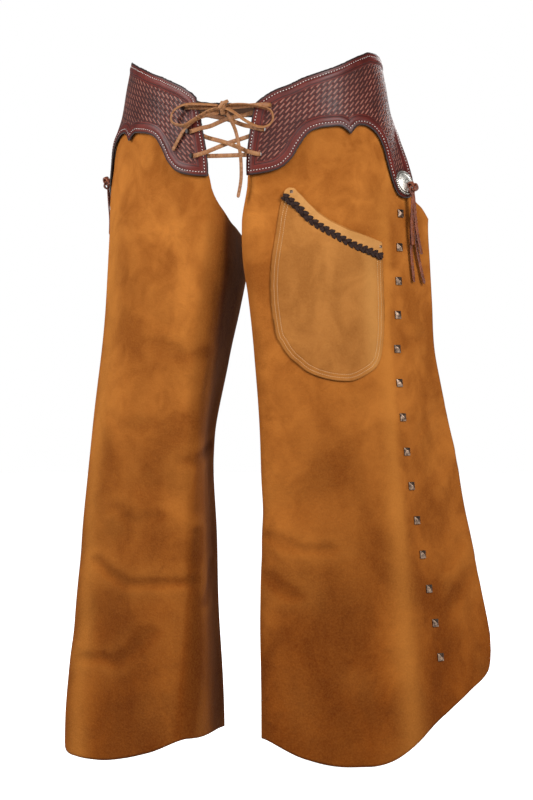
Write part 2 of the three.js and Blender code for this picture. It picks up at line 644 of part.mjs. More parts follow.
// A square pyramid stud with a short straight edge, its back at the origin and its peak up Z.
function studGeometry(width, edge, peak) {
  const half = width / 2;
  const profile = [
    new THREE.Vector2(0, 0),
    new THREE.Vector2(half * Math.SQRT2, 0),
    new THREE.Vector2(half * Math.SQRT2, edge),
    new THREE.Vector2(0, peak),
  ];
  const geometry = new THREE.LatheGeometry(profile, 4, Math.PI / 4);
  geometry.rotateX(Math.PI / 2);
  return geometry;
}

// Turns a piece modelled up Z so that it sits on the leather, its sides level with the hem.
function seatOn(mesh, centre, normal, lift) {
  const up = new THREE.Vector3(0, 0, 1);
  const rise = up.clone().addScaledVector(normal, -up.dot(normal)).normalize();
  const across = new THREE.Vector3().crossVectors(rise, normal).normalize();
  mesh.setRotationFromMatrix(new THREE.Matrix4().makeBasis(across, rise, normal));
  mesh.position.copy(centre).addScaledVector(normal, lift);
  return mesh;
}

function foldedPoint(surface, side, at, z) {
  const normal = outward(surface, side, at, z);
  const depth = foldDepth(legFolds[side], at, -z / legLength);
  return { centre: surface(at, z).addScaledVector(normal, depth), normal };
}

// The pocket's leather lies over the suede from its inside edge to its outside edge.
function pocketPlace(across) {
  return THREE.MathUtils.lerp(pocketEdges.inside, pocketEdges.outside, across);
}

function pocketGeometry(surface) {
  const points = [];
  const normals = [];
  for (let i = 0; i < pocketLevels; i += 1) {
    const pointRow = [];
    const normalRow = [];
    for (const across of pocketSteps) {
      const top = -legLength * smooth(pocketRows, 'across', 'top', across);
      const foot = -legLength * smooth(pocketRows, 'across', 'foot', across);
      const z = THREE.MathUtils.lerp(foot, top, i / (pocketLevels - 1));
      const spot = foldedPoint(surface, 'left', pocketPlace(across), z);
      pointRow.push(spot.centre);
      normalRow.push(spot.normal);
    }
    points.push(pointRow);
    normals.push(normalRow);
  }
  return sheetGeometry(points, normals, pocketWall, pocketLift);
}

function braidGeometry(surface) {
  const points = [];
  const facings = [];
  for (const row of braidRows) {
    const spot = foldedPoint(surface, 'left', pocketPlace(row.across), -legLength * row.drop);
    points.push(spot.centre.addScaledVector(spot.normal, pocketTopLift + braidThick / 2));
    facings.push(spot.normal);
  }
  return strapGeometry(points, facings, braidWidth, braidThick, ribbonSteps);
}

// A round domed silver disc, its back at the origin and its crown up Z.
function conchoGeometry() {
  const half = conchoWidth / 2;
  const profile = [new THREE.Vector2(0, 0), new THREE.Vector2(half, 0), new THREE.Vector2(half, conchoEdge)];
  for (let i = 1; i <= domeRings; i += 1) {
    const turn = (i / domeRings) * Math.PI / 2;
    const up = conchoEdge + (conchoRise - conchoEdge) * Math.sin(turn);
    profile.push(new THREE.Vector2(half * Math.cos(turn), up));
  }
  const geometry = new THREE.LatheGeometry(profile, conchoSides);
  geometry.rotateX(Math.PI / 2);
  return geometry;
}

function knotGeometry(width, height, depth) {
  const geometry = new THREE.SphereGeometry(0.5, knotSides, knotRings);
  geometry.scale(width, depth, height);
  return geometry;
}

// Thongs tied through the concho: one knot on its back half and four strings that hang from it.
function thongGeometry(surface, side) {
  const z = -conchoDrops[side] - thongDip;
  const normal = outward(surface, side, thongStart, z);
  const start = surface(thongStart, z).addScaledVector(normal, thongLift);
  const knot = knotGeometry(knotSize, knotSize, knotSize);
  knot.translate(start.x, start.y, start.z);
  let body = solid(knot);
  for (const end of thongEnds[side]) {
    const points = [start.clone()];
    const facings = [normal.clone()];
    for (const share of thongShares) {
      const at = THREE.MathUtils.lerp(thongStart, end.at, share);
      const height = THREE.MathUtils.lerp(z, -end.drop, share);
      const spot = foldedPoint(surface, side, at, height);
      const lift = THREE.MathUtils.lerp(thongLift, legWall / 2 + end.lift, Math.min(1, share / thongSettle));
      points.push(spot.centre.addScaledVector(spot.normal, lift));
      facings.push(spot.normal);
    }
    body = body.add(solid(strapGeometry(points, facings, thongWidth, thongThick, thongSteps)));
  }
  return fromSolid(body);
}

// Turn of the lace through one hole: round the edge of the leather, from the front or from behind.
function holeTurn(hole, side, fromFront) {
  const radius = yokeWall / 2 + laceThick / 2 + laceRub;
  const away = new THREE.Vector3(sides[side], 0, 0);
  away.addScaledVector(hole.normal, -away.dot(hole.normal)).normalize();
  const middle = hole.centre.clone().addScaledVector(away, -radius);
  const turns = [90, 45, 0, -45, -90].map((degrees) => {
    const angle = THREE.MathUtils.degToRad(degrees);
    const facing = away.clone().multiplyScalar(Math.cos(angle)).addScaledVector(hole.normal, Math.sin(angle));
    return { point: middle.clone().addScaledVector(facing, radius), facing };
  });
  return fromFront ? turns : turns.reverse();
}

// A point of the lace where it lies on the yoke near its front edge, on the face or behind.
function laceRest(side, across, drop, layer) {
  const surface = leatherSurface(side);
  const at = placeAcross(surface, -drop, across, place.corner, place.inner);
  const normal = outward(surface, side, at, -drop);
  const lift = yokeLift + layer * (yokeWall / 2 + laceThick / 2 + laceRub);
  return { point: surface(at, -drop).addScaledVector(normal, lift), facing: normal };
}

// A point in front of the hips' middle section.
function inFront(x, out, z) {
  return new THREE.Vector3(x, -halfDepth - out, z);
}

// The lace runs from the knot through the six holes and back, crossing twice between the yokes.
function laceGeometry() {
  const holes = { left: laceHoles('left'), right: laceHoles('right') };
  const points = [];
  const facings = [];
  let sense = 1;
  const push = (row) => {
    points.push(row.point);
    facings.push(row.facing.clone().multiplyScalar(sense));
  };
  const front = new THREE.Vector3(0, -1, 0);
  const centre = inFront(laceKnot.x, laceKnot.out, laceKnot.z);
  const knot = { point: centre, facing: front };
  const pushFacing = (row) => {
    sense = row.facing.dot(facings[facings.length - 1]) < 0 ? -1 : 1;
    push(row);
    sense = 1;
  };
  const turn = (side, index, fromFront) => {
    const rows = holeTurn(holes[side][index], side, fromFront);
    sense = rows[0].facing.dot(facings[facings.length - 1]) < 0 ? -1 : 1;
    rows.forEach(push);
    sense = 1;
  };
  const rest = (side, across, drop, layer) => {
    pushFacing(laceRest(side, across, drop, layer));
  };
  const middle = (drop, shift) => {
    const depth = -(halfDepth + yokeLift) + shift;
    pushFacing({ point: new THREE.Vector3(0, depth, -drop), facing: front });
  };
  const near = holeAcross.map((across) => across - laceRestBack);
  const edge = (from, to, cross) => THREE.MathUtils.lerp(to, from, laceEdge / cross);
  const leave = (side, index, drop, layer, cross) => {
    rest(side, near[index], drop, layer);
    rest(side, laceEdge, edge(drop, cross, near[index]), layer);
  };
  const arrive = (side, index, drop, layer, cross) => {
    rest(side, laceEdge, edge(drop, cross, near[index]), layer);
    rest(side, near[index], drop, layer);
  };
  const [upper, lower] = laceCross;
  push(knot);
  rest('right', near[0], 0, 1);
  turn('right', 0, true);
  leave('right', 0, restDrops.upperBehind, -1, upper);
  middle(upper, laceStep);
  arrive('left', 1, restDrops.upperFront, 1, upper);
  turn('left', 1, true);
  leave('left', 1, restDrops.lowerBehind, -1, lower);
  middle(lower, laceStep);
  arrive('right', 2, restDrops.lowerFront, 1, lower);
  turn('right', 2, true);
  middle(holeDrops[2], yokeWall);
  turn('left', 2, false);
  leave('left', 2, restDrops.lowerFront, 1, lower);
  middle(lower, -laceStep);
  arrive('right', 1, restDrops.lowerBehind, -1, lower);
  turn('right', 1, false);
  leave('right', 1, restDrops.upperFront, 1, upper);
  middle(upper, -laceStep);
  arrive('left', 0, restDrops.upperBehind, -1, upper);
  turn('left', 0, false);
  rest('left', near[0], 0, 1);
  push(knot);
  const lace = solid(strapGeometry(points, facings, laceWidth, laceThick, laceSteps));
  const knotBody = knotGeometry(laceKnot.width, laceKnot.height, laceKnot.depth);
  knotBody.translate(centre.x, centre.y, centre.z);
  return fromSolid(lace.add(solid(knotBody)));
}

function bowGeometry(route) {
  const points = route.map(([x, out, z]) => inFront(x, out, z));
  const facings = points.map(() => new THREE.Vector3(0, -1, 0));
  return strapGeometry(points, facings, laceWidth, laceThick, ribbonSteps);
}

// The strap behind the waist lies over the ends of both yokes and crosses the gap between them.
function strapBehind() {
  const heights = [-0.5, 0, 0.5].map((share) => yokeRise * strapLevel + share * strapWidth);
  const points = [];
  const normals = [];
  for (const z of heights) {
    const pointRow = [];
    const normalRow = [];
    for (const side of ['right', 'left']) {
      const surface = leatherSurface(side);
      const places = side === 'left' ? strapPlaces : [...strapPlaces].reverse();
      for (const at of places) {
        pointRow.push(surface(at, z));
        normalRow.push(outward(surface, side, Math.max(at, 0.02), z));
      }
      if (side === 'right') {
        pointRow.push(new THREE.Vector3(0, surface(0, z).y + strapBow, z));
        normalRow.push(new THREE.Vector3(0, 1, 0));
      }
    }
    points.push(pointRow);
    normals.push(normalRow);
  }
  return sheetGeometry(points, normals, strapWall, strapLift);
}

// A plain two-gap buckle: a flat frame with one bar across its middle, its back on the XZ plane.
function buckleGeometry() {
  let body = solid(new THREE.BoxGeometry(buckleLength, buckleThick, buckleHeight));
  const gapLength = (buckleLength - 3 * buckleBar) / 2;
  for (const sign of [-1, 1]) {
    const gap = new THREE.BoxGeometry(gapLength, buckleThick * 3, buckleHeight - 2 * buckleBar);
    gap.translate(sign * (gapLength + buckleBar) / 2, 0, 0);
    body = body.subtract(solid(gap));
  }
  const geometry = fromSolid(body);
  geometry.translate(0, buckleThick / 2, 0);
  return geometry;
}

const chaps = new THREE.Group();

for (const side of ['left', 'right']) {
  chaps.add(named(`leg_${side}`, legGeometry(side), leather.suede));
  chaps.add(named(`yoke_${side}`, drillHoles(yokeGeometry(side), side), leather.yoke));
  const surface = leatherSurface(side);
  for (let i = 0; i < studCount; i += 1) {
    const z = -studFirstDrop - i * studPitch;
    const spot = foldedPoint(surface, side, place.stud, z);
    const geometry = studGeometry(studWidth, studEdge, studPeak);
    const stud = named(`wing_stud_${side}_${i + 1}`, geometry, metal.stud);
    chaps.add(seatOn(stud, spot.centre, spot.normal, legWall / 2 + studLift));
  }
  const conchoNormal = outward(surface, side, conchoPlace, -conchoDrops[side]);
  const conchoCentre = surface(conchoPlace, -conchoDrops[side]);
  const concho = named(`hip_concho_${side}`, conchoGeometry(), metal.silver);
  chaps.add(seatOn(concho, conchoCentre, conchoNormal, yokeLift + yokeWall / 2 + conchoLift));
  chaps.add(named(`hip_thongs_${side}`, thongGeometry(surface, side), leather.thong));
}

const leftSurface = leatherSurface('left');
chaps.add(named('thigh_pocket', pocketGeometry(leftSurface), leather.pocket));
chaps.add(named('pocket_braid', braidGeometry(leftSurface), leather.braid));
pocketStuds.forEach((row, i) => {
  const spot = foldedPoint(leftSurface, 'left', pocketPlace(row.across), -legLength * row.drop);
  const geometry = studGeometry(pocketStudWidth, studEdge, pocketStudPeak);
  const stud = named(`pocket_stud_${i + 1}`, geometry, metal.stud);
  chaps.add(seatOn(stud, spot.centre, spot.normal, pocketTopLift));
});

chaps.add(named('front_lace', laceGeometry(), leather.lace));
for (const [name, route] of Object.entries(bowRoutes)) {
  chaps.add(named(name, bowGeometry(route), leather.lace));
}

chaps.add(named('back_strap', strapBehind(), leather.strap));
const buckle = named('back_buckle', buckleGeometry(), metal.silver);
const buckleZ = yokeRise * strapLevel;
const strapFoot = buckleZ - strapWidth / 2;
const strapFace = leftSurface(place.wing, strapFoot).y + strapBow + strapLift + strapWall / 2;
buckle.position.set(0, strapFace + seatGap, buckleZ);
chaps.add(buckle);

export default chaps;
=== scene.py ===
# Batwing chaps: suede legs with swinging wings, hung from a stamped yoke that is laced in front.
# Metres. +X is the wearer's left, -Y the wearer's front, +Z up. The tables below are in millimetres.
import math
import bmesh
import bpy
import numpy as np
from mathutils import Matrix, Vector, kdtree


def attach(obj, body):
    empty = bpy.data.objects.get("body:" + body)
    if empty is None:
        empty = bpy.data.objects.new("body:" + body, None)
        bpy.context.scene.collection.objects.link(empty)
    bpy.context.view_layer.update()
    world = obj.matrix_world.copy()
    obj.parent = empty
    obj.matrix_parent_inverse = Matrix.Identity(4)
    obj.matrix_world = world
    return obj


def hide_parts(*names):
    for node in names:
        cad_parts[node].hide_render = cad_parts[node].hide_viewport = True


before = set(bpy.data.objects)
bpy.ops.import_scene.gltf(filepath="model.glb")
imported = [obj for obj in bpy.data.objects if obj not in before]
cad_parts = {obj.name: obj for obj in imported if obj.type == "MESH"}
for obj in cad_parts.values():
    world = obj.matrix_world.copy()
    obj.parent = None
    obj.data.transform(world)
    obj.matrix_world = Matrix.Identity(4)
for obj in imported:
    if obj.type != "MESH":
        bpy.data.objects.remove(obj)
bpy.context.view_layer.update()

# Camera. It stands 3.5 m away at knee height, level, 17 degrees round to the wearer's left.
camera_data = bpy.data.cameras.new("camera")
camera_data.sensor_fit = "VERTICAL"
camera_data.sensor_height = 36
camera_data.lens = 36 * 2430 / 800
camera_data.clip_end = 40
camera = bpy.data.objects.new("camera", camera_data)
camera.rotation_euler = (math.radians(90), 0, math.radians(17))
toward = Vector((math.sin(math.radians(17)), -math.cos(math.radians(17)), 0))
rightward = Vector((math.cos(math.radians(17)), math.sin(math.radians(17)), 0))
camera.location = toward * 3.5 + rightward * 0.0166 + Vector((0, 0, -0.407))
bpy.context.scene.collection.objects.link(camera)
bpy.context.scene.camera = camera


# Bow. Two loops and two free ends of the same 6 mm flat latigo lace that closes the front. Latigo is
# oil-tanned cowhide with dyed, slightly waxy faces and paler cut edges.
def hex_colour(code):
    parts = [int(code[i:i + 2], 16) / 255 for i in (1, 3, 5)]
    return tuple(c / 12.92 if c <= 0.04045 else ((c + 0.055) / 1.055) ** 2.4 for c in parts) + (1,)


def add_node(tree, kind, inputs=None, **settings):
    made = tree.nodes.new(kind)
    for key, value in settings.items():
        setattr(made, key, value)
    for socket, value in (inputs or {}).items():
        if isinstance(value, bpy.types.NodeSocket):
            tree.links.new(value, made.inputs[socket])
        else:
            made.inputs[socket].default_value = value
    return made


def new_finish(name):
    material = bpy.data.materials.new(name)
    material.use_nodes = True
    tree = material.node_tree
    return material, tree, tree.nodes["Principled BSDF"]


def catmull(points, steps):
    """Points along a smooth line through the given ones, each stretch cut into steps."""
    points = [Vector(p) for p in points]
    padded = [points[0] * 2 - points[1]] + points + [points[-1] * 2 - points[-2]]
    found = []
    for a, b, c, d in zip(padded, padded[1:], padded[2:], padded[3:]):
        for k in range(steps):
            t = k / steps
            found.append(0.5 * (2 * b + (c - a) * t + (2 * a - 5 * b + 4 * c - d) * t ** 2
                                + (3 * b - 3 * c + d - a) * t ** 3))
    return found + [points[-1]]


def evenly(points, count, extra=()):
    """Points at equal distances along a line, with any extra rows carried along it."""
    rows = np.array([list(p) for p in points], dtype=float)
    others = [np.array([list(e) for e in rows_of], dtype=float) for rows_of in extra]
    run = np.concatenate([[0], np.cumsum(np.linalg.norm(np.diff(rows, axis=0), axis=1))])
    at = np.linspace(0, run[-1], count)
    lay = lambda table: np.stack([np.interp(at, run, table[:, k]) for k in range(3)], axis=1)
    return [lay(rows)] + [lay(table) for table in others], run[-1]


def add_ribbon(bm, points, facings, width, thick, taper=1.0):
    """A flat strap with rounded edges, extruded ring by ring along its line."""
    profile = [(-0.5, -0.25), (-0.42, -0.5), (0.42, -0.5), (0.5, -0.25),
               (0.5, 0.25), (0.42, 0.5), (-0.42, 0.5), (-0.5, 0.25)]
    points = [Vector(p) for p in points]
    last = len(points) - 1
    face = None
    for i, point in enumerate(points):
        tangent = (points[min(i + 1, last)] - points[max(i - 1, 0)]).normalized()
        facing = Vector(facings[i])
        facing = (facing - tangent * facing.dot(tangent)).normalized()
        across = tangent.cross(facing)
        wide = width * (taper if i in (0, last) else 1)
        ring = [point + across * u * wide + facing * v * thick for u, v in profile]
        if face is None:
            face = bm.faces.new([bm.verts.new(p) for p in ring])
            continue
        before = [loop.vert for loop in face.loops]
        grown = bmesh.ops.extrude_face_region(bm, geom=[face])["geom"]
        face = next(g for g in grown if isinstance(g, bmesh.types.BMFace))
        order = {id(v): k for k, v in enumerate(before)}
        for vert in face.verts:
            source = next(e.other_vert(vert) for e in vert.link_edges if id(e.other_vert(vert)) in order)
            vert.co = ring[order[id(source)]]
    return face


def finish_piece(bm, name, material, smooth_levels=0):
    """The mesh as a piece of the object, with its normals outwards and its faces smooth."""
    bmesh.ops.recalc_face_normals(bm, faces=bm.faces)
    mesh = bpy.data.meshes.new(name)
    bm.to_mesh(mesh)
    bm.free()
    mesh.shade_smooth()
    mesh.materials.append(material)
    piece = bpy.data.objects.new(name, mesh)
    bpy.context.scene.collection.objects.link(piece)
    if smooth_levels:
        modifier = piece.modifiers.new("smooth", "SUBSURF")
        modifier.levels = smooth_levels
        modifier.render_levels = smooth_levels
    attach(piece, "root")
    return piece


lace_width = 0.006
lace_thick = 0.002
half_depth = 125
lace_finish, tree, shader = new_finish("latigo_lace")
place = add_node(tree, "ShaderNodeTexCoord").outputs["Object"]
pull = add_node(tree, "ShaderNodeTexNoise", {"Vector": place, "Scale": 120, "Detail": 4, "Roughness": 0.6})
tone = add_node(tree, "ShaderNodeMapRange", {"Value": pull.outputs["Fac"], 1: 0.3, 2: 0.7})
colour = add_node(tree, "ShaderNodeMix", {0: tone.outputs[0], 6: hex_colour("#96603A"),
                                          7: hex_colour("#B07A4A")}, data_type="RGBA")
tree.links.new(colour.outputs[2], shader.inputs["Base Color"])
grain = add_node(tree, "ShaderNodeTexNoise", {"Vector": place, "Scale": 900, "Detail": 2})
bump = add_node(tree, "ShaderNodeBump", {"Height": grain.outputs["Fac"], "Strength": 0.2, "Distance": 0.0002})
tree.links.new(bump.outputs[0], shader.inputs["Normal"])
shader.inputs["Roughness"].default_value = 0.5
shader.inputs["Specular IOR Level"].default_value = 0.4

bow_routes = {
    "bow_loop_left": [
        (-10.5, 14.5, 1.5), (-24, 16, 3), (-39, 17, 4), (-59, 15, 4.3), (-76, 11, -2.6), (-81.5, 9, -13.7),
        (-76, 11, -21.3), (-60, 16, -24.8), (-47, 18, -19), (-25, 20.5, -8), (-9, 20.5, -3)],
    "bow_loop_right": [
        (4.5, 14.5, 1), (18, 17, 1.5), (33, 17, 0.5), (50.7, 15, -2.6), (63.7, 11, -7), (68, 9.5, -17),
        (64, 10.5, -26), (55, 14, -30.5), (44, 17, -28.5), (29, 19.5, -20), (14, 21, -9), (3, 20.5, -3.5)],
    "bow_tail_left": [
        (-8.5, 13.5, -8), (-20, 14.5, -10.5), (-40, 14.5, -15.5), (-58, 10.5, -26.5), (-69.5, 6.5, -40),
        (-76, 4.5, -50), (-81, 2.5, -58)],
    "bow_tail_right": [
        (1.1, 14.2, -6.9), (8, 16, -18), (15, 15.5, -33), (19.5, 14.5, -52), (22, 13, -70),
        (22.5, 11.5, -88), (21.5, 10.5, -105), (17, 9.5, -127)],
}
for name, route in bow_routes.items():
    line = catmull([(x / 1000, -(half_depth + out) / 1000, z / 1000) for x, out, z in route], 6)
    (line,), length = evenly(line, len(line))
    bm = bmesh.new()
    free = name.startswith("bow_tail")
    ways = np.gradient(line, axis=0)
    stand = math.radians(62 if free else 34)
    facings = [Vector((way[2], 0, -way[0])).normalized() * math.cos(stand) + Vector((0, -math.sin(stand), 0))
               for way in ways]
    add_ribbon(bm, line, facings, lace_width, lace_thick, 0.55 if free else 1.0)
    bow = finish_piece(bm, name + "_lace", lace_finish, 1)
    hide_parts(name)

# Legs. Each is one hide of rough-out cowhide, about 2.4 mm thick: it wraps the thigh and shin and flares
# into the wing. The flesh side faces out, so it has a short nap, clouds of tone and soft folds.
hip_width, hip_depth, leg_length, yoke_rise, yoke_drop = 386, 250, 918, 86, 123
stud_to_wing, stud_to_ridge, leg_wall = 104, 62, 2.4
half_hip = hip_width / 2
side_sign = {"left": 1, "right": -1}
hip_rows = [(1.1, 0.905, 0.91), (0.5, 0.96, 0.965), (0, 1, 1)]
hip_angles = [168, 120, 97, 76, 55, 33, 8]
# Columns: level, corner, inner, outer, ridge, to stud, to wing, swing, thigh, calf, heel, back.
leg_rows = [
    (0.04, (0.15, -1.0), (0.56, -0.855), (0.842, -0.59), (1.018, -0.3), 0.62, 0.62, 82,
     (0.11, -0.1), (0.16, 0.45), (0.42, 0.75), (0.8, 0.66)),
    (0.082, (0.153, -1.0), (0.56, -0.862), (0.848, -0.61), (1.03, -0.345), 0.62, 0.62, 70,
     (0.11, -0.1), (0.16, 0.45), (0.42, 0.75), (0.8, 0.66)),
    (0.12, (0.163, -0.995), (0.56, -0.882), (0.86, -0.656), (1.045, -0.39), 0.57, 0.6, 62,
     (0.1, -0.1), (0.155, 0.45), (0.42, 0.76), (0.81, 0.66)),
    (0.175, (0.13, -1.015), (0.535, -0.928), (0.845, -0.72), (1.052, -0.4), 0.5, 0.54, 58,
     (0.088, -0.08), (0.155, 0.46), (0.41, 0.76), (0.83, 0.64)),
    (0.225, (0.14, -1.025), (0.53, -0.97), (0.834, -0.77), (1.062, -0.4), 0.42, 0.58, 57,
     (0.088, -0.1), (0.16, 0.44), (0.41, 0.74), (0.84, 0.6)),
    (0.29, (0.182, -1.03), (0.525, -1.0), (0.826, -0.8), (1.076, -0.42), 0.34, 0.63, 56,
     (0.14, -0.14), (0.2, 0.38), (0.44, 0.66), (0.84, 0.54)),
    (0.38, (0.223, -1.035), (0.555, -1.01), (0.865, -0.83), (1.105, -0.475), 0.24, 0.72, 55,
     (0.225, -0.16), (0.27, 0.26), (0.49, 0.5), (0.84, 0.45)),
    (0.52, (0.268, -1.055), (0.6, -1.035), (0.93, -0.885), (1.165, -0.57), 0.34, 0.91, 57,
     (0.335, -0.18), (0.36, 0.13), (0.55, 0.34), (0.87, 0.35)),
    (0.66, (0.282, -1.07), (0.635, -1.055), (0.975, -0.885), (1.22, -0.62), 0.58, 0.95, 58,
     (0.31, -0.17), (0.33, 0.1), (0.55, 0.32), (0.93, 0.33)),
    (0.79, (0.272, -1.08), (0.645, -1.07), (0.985, -0.88), (1.27, -0.655), 0.86, 1, 57,
     (0.292, -0.15), (0.315, 0.13), (0.55, 0.36), (0.99, 0.38)),
    (0.92, (0.287, -1.09), (0.665, -1.09), (1.02, -0.9), (1.325, -0.69), 1.02, 1, 57,
     (0.265, -0.12), (0.29, 0.18), (0.55, 0.41), (1.04, 0.43)),
    (1.01, (0.292, -1.09), (0.675, -1.09), (1.03, -0.9), (1.335, -0.7), 1.08, 1, 57,
     (0.26, -0.11), (0.285, 0.19), (0.55, 0.42), (1.05, 0.44)),
]
wing_turn = {"left": 0, "right": 27}
stud_shift = {"left": 0, "right": 12}
wing_turn_end = 0.14
leg_top = [(0, 1.22), (0.5, 1.1), (1, 1.02), (1.6, 0.86), (2, 0.72), (2.6, 0.48), (3, 0.3), (3.4, 0.14),
           (4, 0.09), (4.6, 0.09), (5, 0.18), (5.35, 0.5), (5.62, 0.68), (6, 0.71), (6.1, 0.92), (6.2, 1.06),
           (6.33, 1.16), (6.5, 1.265), (6.66, 1.31), (7, 1.39), (8, 1.5), (9, 1.56), (10, 1.5), (11, 1.34),
           (12, 1.12), (13, 1.02)]
leg_hem = {
    "left": [(0, 0.806), (0.1, 0.838), (0.3, 0.862), (1, 0.887), (2, 0.918), (2.5, 0.936), (3, 0.962),
             (3.5, 0.984), (4, 0.992), (4.6, 0.991), (5.2, 0.98), (6, 0.953), (7, 0.955), (9, 0.96),
             (10.2, 0.945), (11, 0.905), (13, 0.895)],
    "right": [(0, 0.82), (0.1, 0.845), (0.3, 0.868), (1, 0.893), (2, 0.925), (2.5, 0.95), (3, 0.988),
              (3.5, 0.998), (4, 1), (4.6, 0.994), (5.2, 0.982), (6, 0.958), (7, 0.958), (9, 0.96),
              (10.2, 0.95), (11, 0.915), (13, 0.9)],
}
# Columns: place, level, reach across, reach up, slant, depth.
leg_folds = {
    "left": [(0.6, 0.5, 0.9, 0.045, 0.05, 4), (0.4, 0.68, 0.9, 0.05, 0.05, -4), (0.2, 0.36, 0.7, 0.05, 0.02, 3),
             (5.3, 0.6, 0.8, 0.03, 0.01, 4), (3.6, 0.7, 0.35, 0.2, 0, 4)],
    "right": [(5.4, 0.585, 0.6, 0.035, 0.02, 5), (4.2, 0.66, 1, 0.03, -0.02, 5), (3.6, 0.79, 0.6, 0.03, -0.02, 4),
              (5.75, 0.72, 0.3, 0.16, 0, 5), (0.5, 0.55, 0.8, 0.07, 0.04, 4)],
}


def smooth(rows, at):
    """A smooth line through (x, y) rows that never overshoots them."""
    x, y = np.array(rows, dtype=float).T
    slope = np.diff(y) / np.maximum(np.diff(x), 1e-9)
    tangent = np.concatenate([[slope[0]], (y[2:] - y[:-2]) / (x[2:] - x[:-2]), [slope[-1]]])
    tangent[1:-1] = np.where(slope[:-1] * slope[1:] > 0, tangent[1:-1], 0)
    at = np.asarray(at, dtype=float)
    i = np.clip(np.searchsorted(x, at) - 1, 0, len(x) - 2)
    span = x[i + 1] - x[i]
    t = np.clip((at - x[i]) / span, 0, 1)
    return ((2 * t ** 3 - 3 * t ** 2 + 1) * y[i] + (t ** 3 - 2 * t ** 2 + t) * span * tangent[i]
            + (3 * t ** 2 - 2 * t ** 3) * y[i + 1] + (t ** 3 - t ** 2) * span * tangent[i + 1])


def along(start, degrees, distance, inward=0.0):
    turn = math.radians(degrees)
    return (start[0] + distance * math.cos(turn) - inward * math.sin(turn),
            start[1] + distance * math.sin(turn) + inward * math.cos(turn))


def lap_points(stud, swing):
    inside = leg_wall + 1.2
    return [along(stud, swing, 34, 22), along(stud, swing, 14, inside), along(stud, swing, -8, inside)]


def section_tracks(side):
    """How each of the fourteen control points of the plan section moves with height, in millimetres."""
    rows = []
    scale = lambda share: (half_hip * share[0], half_depth * share[1])
    for level, width, depth in hip_rows:
        turns = [math.radians(a) for a in hip_angles]
        points = [(half_hip * width * math.sin(t), -half_depth * depth * math.cos(t)) for t in turns]
        points += [scale(share) for share in leg_rows[0][8:12]] + lap_points(points[2], 90)
        rows.append((level * yoke_rise, points))
    for level, corner, inner, outer, ridge, to_stud, to_wing, swing, *rest in leg_rows:
        turned = min(1, level / wing_turn_end) ** 2
        swing = swing + wing_turn[side] * turned
        stud = along(scale(ridge), swing, stud_to_ridge * to_stud + stud_shift[side] * turned)
        middle = along(stud, swing, stud_to_wing * to_wing / 2)
        wing = along(stud, swing, stud_to_wing * to_wing)
        points = [wing, middle, stud] + [scale(s) for s in (ridge, outer, inner, corner, *rest)]
        rows.append((-level * leg_length, points + lap_points(stud, swing)))
    rows.sort(key=lambda row: row[0])
    return [[[(z, points[k][c]) for z, points in rows] for c in (0, 1)] for k in range(14)]


tracks = {side: section_tracks(side) for side in side_sign}


def leather_surface(side, at, z):
    """Middle of the leather, in millimetres, at places along the sheet and heights."""
    at, z = np.broadcast_arrays(np.asarray(at, dtype=float), np.asarray(z, dtype=float))
    columns = np.array([[smooth(track, z) for track in pair] for pair in tracks[side]])
    first, last = 2 * columns[:1] - columns[1:2], 2 * columns[-1:] - columns[-2:-1]
    columns = np.concatenate([first, columns, last])
    i = np.clip(np.floor(at).astype(int), 0, 12)
    t = np.clip(at, 0, 13) - i
    spots = np.arange(at.size).reshape(at.shape)
    flat = columns.reshape(16, 2, -1)
    p0, p1, p2, p3 = (flat[i + k, :, spots] for k in range(4))
    step = [np.maximum(((a - b) ** 2).sum(-1) ** 0.25, 1e-4)[..., None] for a, b in ((p1, p0), (p2, p1), (p3, p2))]
    t1 = ((p1 - p0) / step[0] - (p2 - p0) / (step[0] + step[1]) + (p2 - p1) / step[1]) * step[1]
    t2 = ((p2 - p1) / step[1] - (p3 - p1) / (step[1] + step[2]) + (p3 - p2) / step[2]) * step[1]
    t = t[..., None]
    xy = p1 + t1 * t + (-3 * p1 + 3 * p2 - 2 * t1 - t2) * t ** 2 + (2 * p1 - 2 * p2 + t1 + t2) * t ** 3
    return np.stack([xy[..., 0] * side_sign[side], xy[..., 1], z], axis=-1)


def outward(side, at, z):
    across = leather_surface(side, np.minimum(np.add(at, 0.02), 13), z) \
        - leather_surface(side, np.maximum(np.subtract(at, 0.02), 0), z)
    up = leather_surface(side, at, np.add(z, 2)) - leather_surface(side, at, np.subtract(z, 2))
    normal = np.cross(across, up) * -side_sign[side]
    return normal / np.linalg.norm(normal, axis=-1, keepdims=True)


def fold_depth(side, at, z):
    level = -np.asarray(z) / leg_length
    depth = 0
    for place_at, place_level, across, up, slant, deep in leg_folds[side]:
        u = (at - place_at) / across
        v = (level - place_level - slant * (at - place_at)) / up
        depth = depth - deep * np.exp(-u * u - v * v)
    return depth


def even_places(side, z, low, high, extra=None):
    """Turns a share of the way along the sheet into a place, by the length of leather up to it."""
    at = np.linspace(low, high, 1200)
    line = leather_surface(side, at, np.full_like(at, z))
    steps = np.linalg.norm(np.diff(line, axis=0), axis=1)
    if extra is not None:
        steps = np.hypot(steps, np.abs(np.diff(extra(at))))
    run = np.concatenate([[0], np.cumsum(steps)])
    return lambda share: np.interp(share, run / run[-1], at), run[-1]


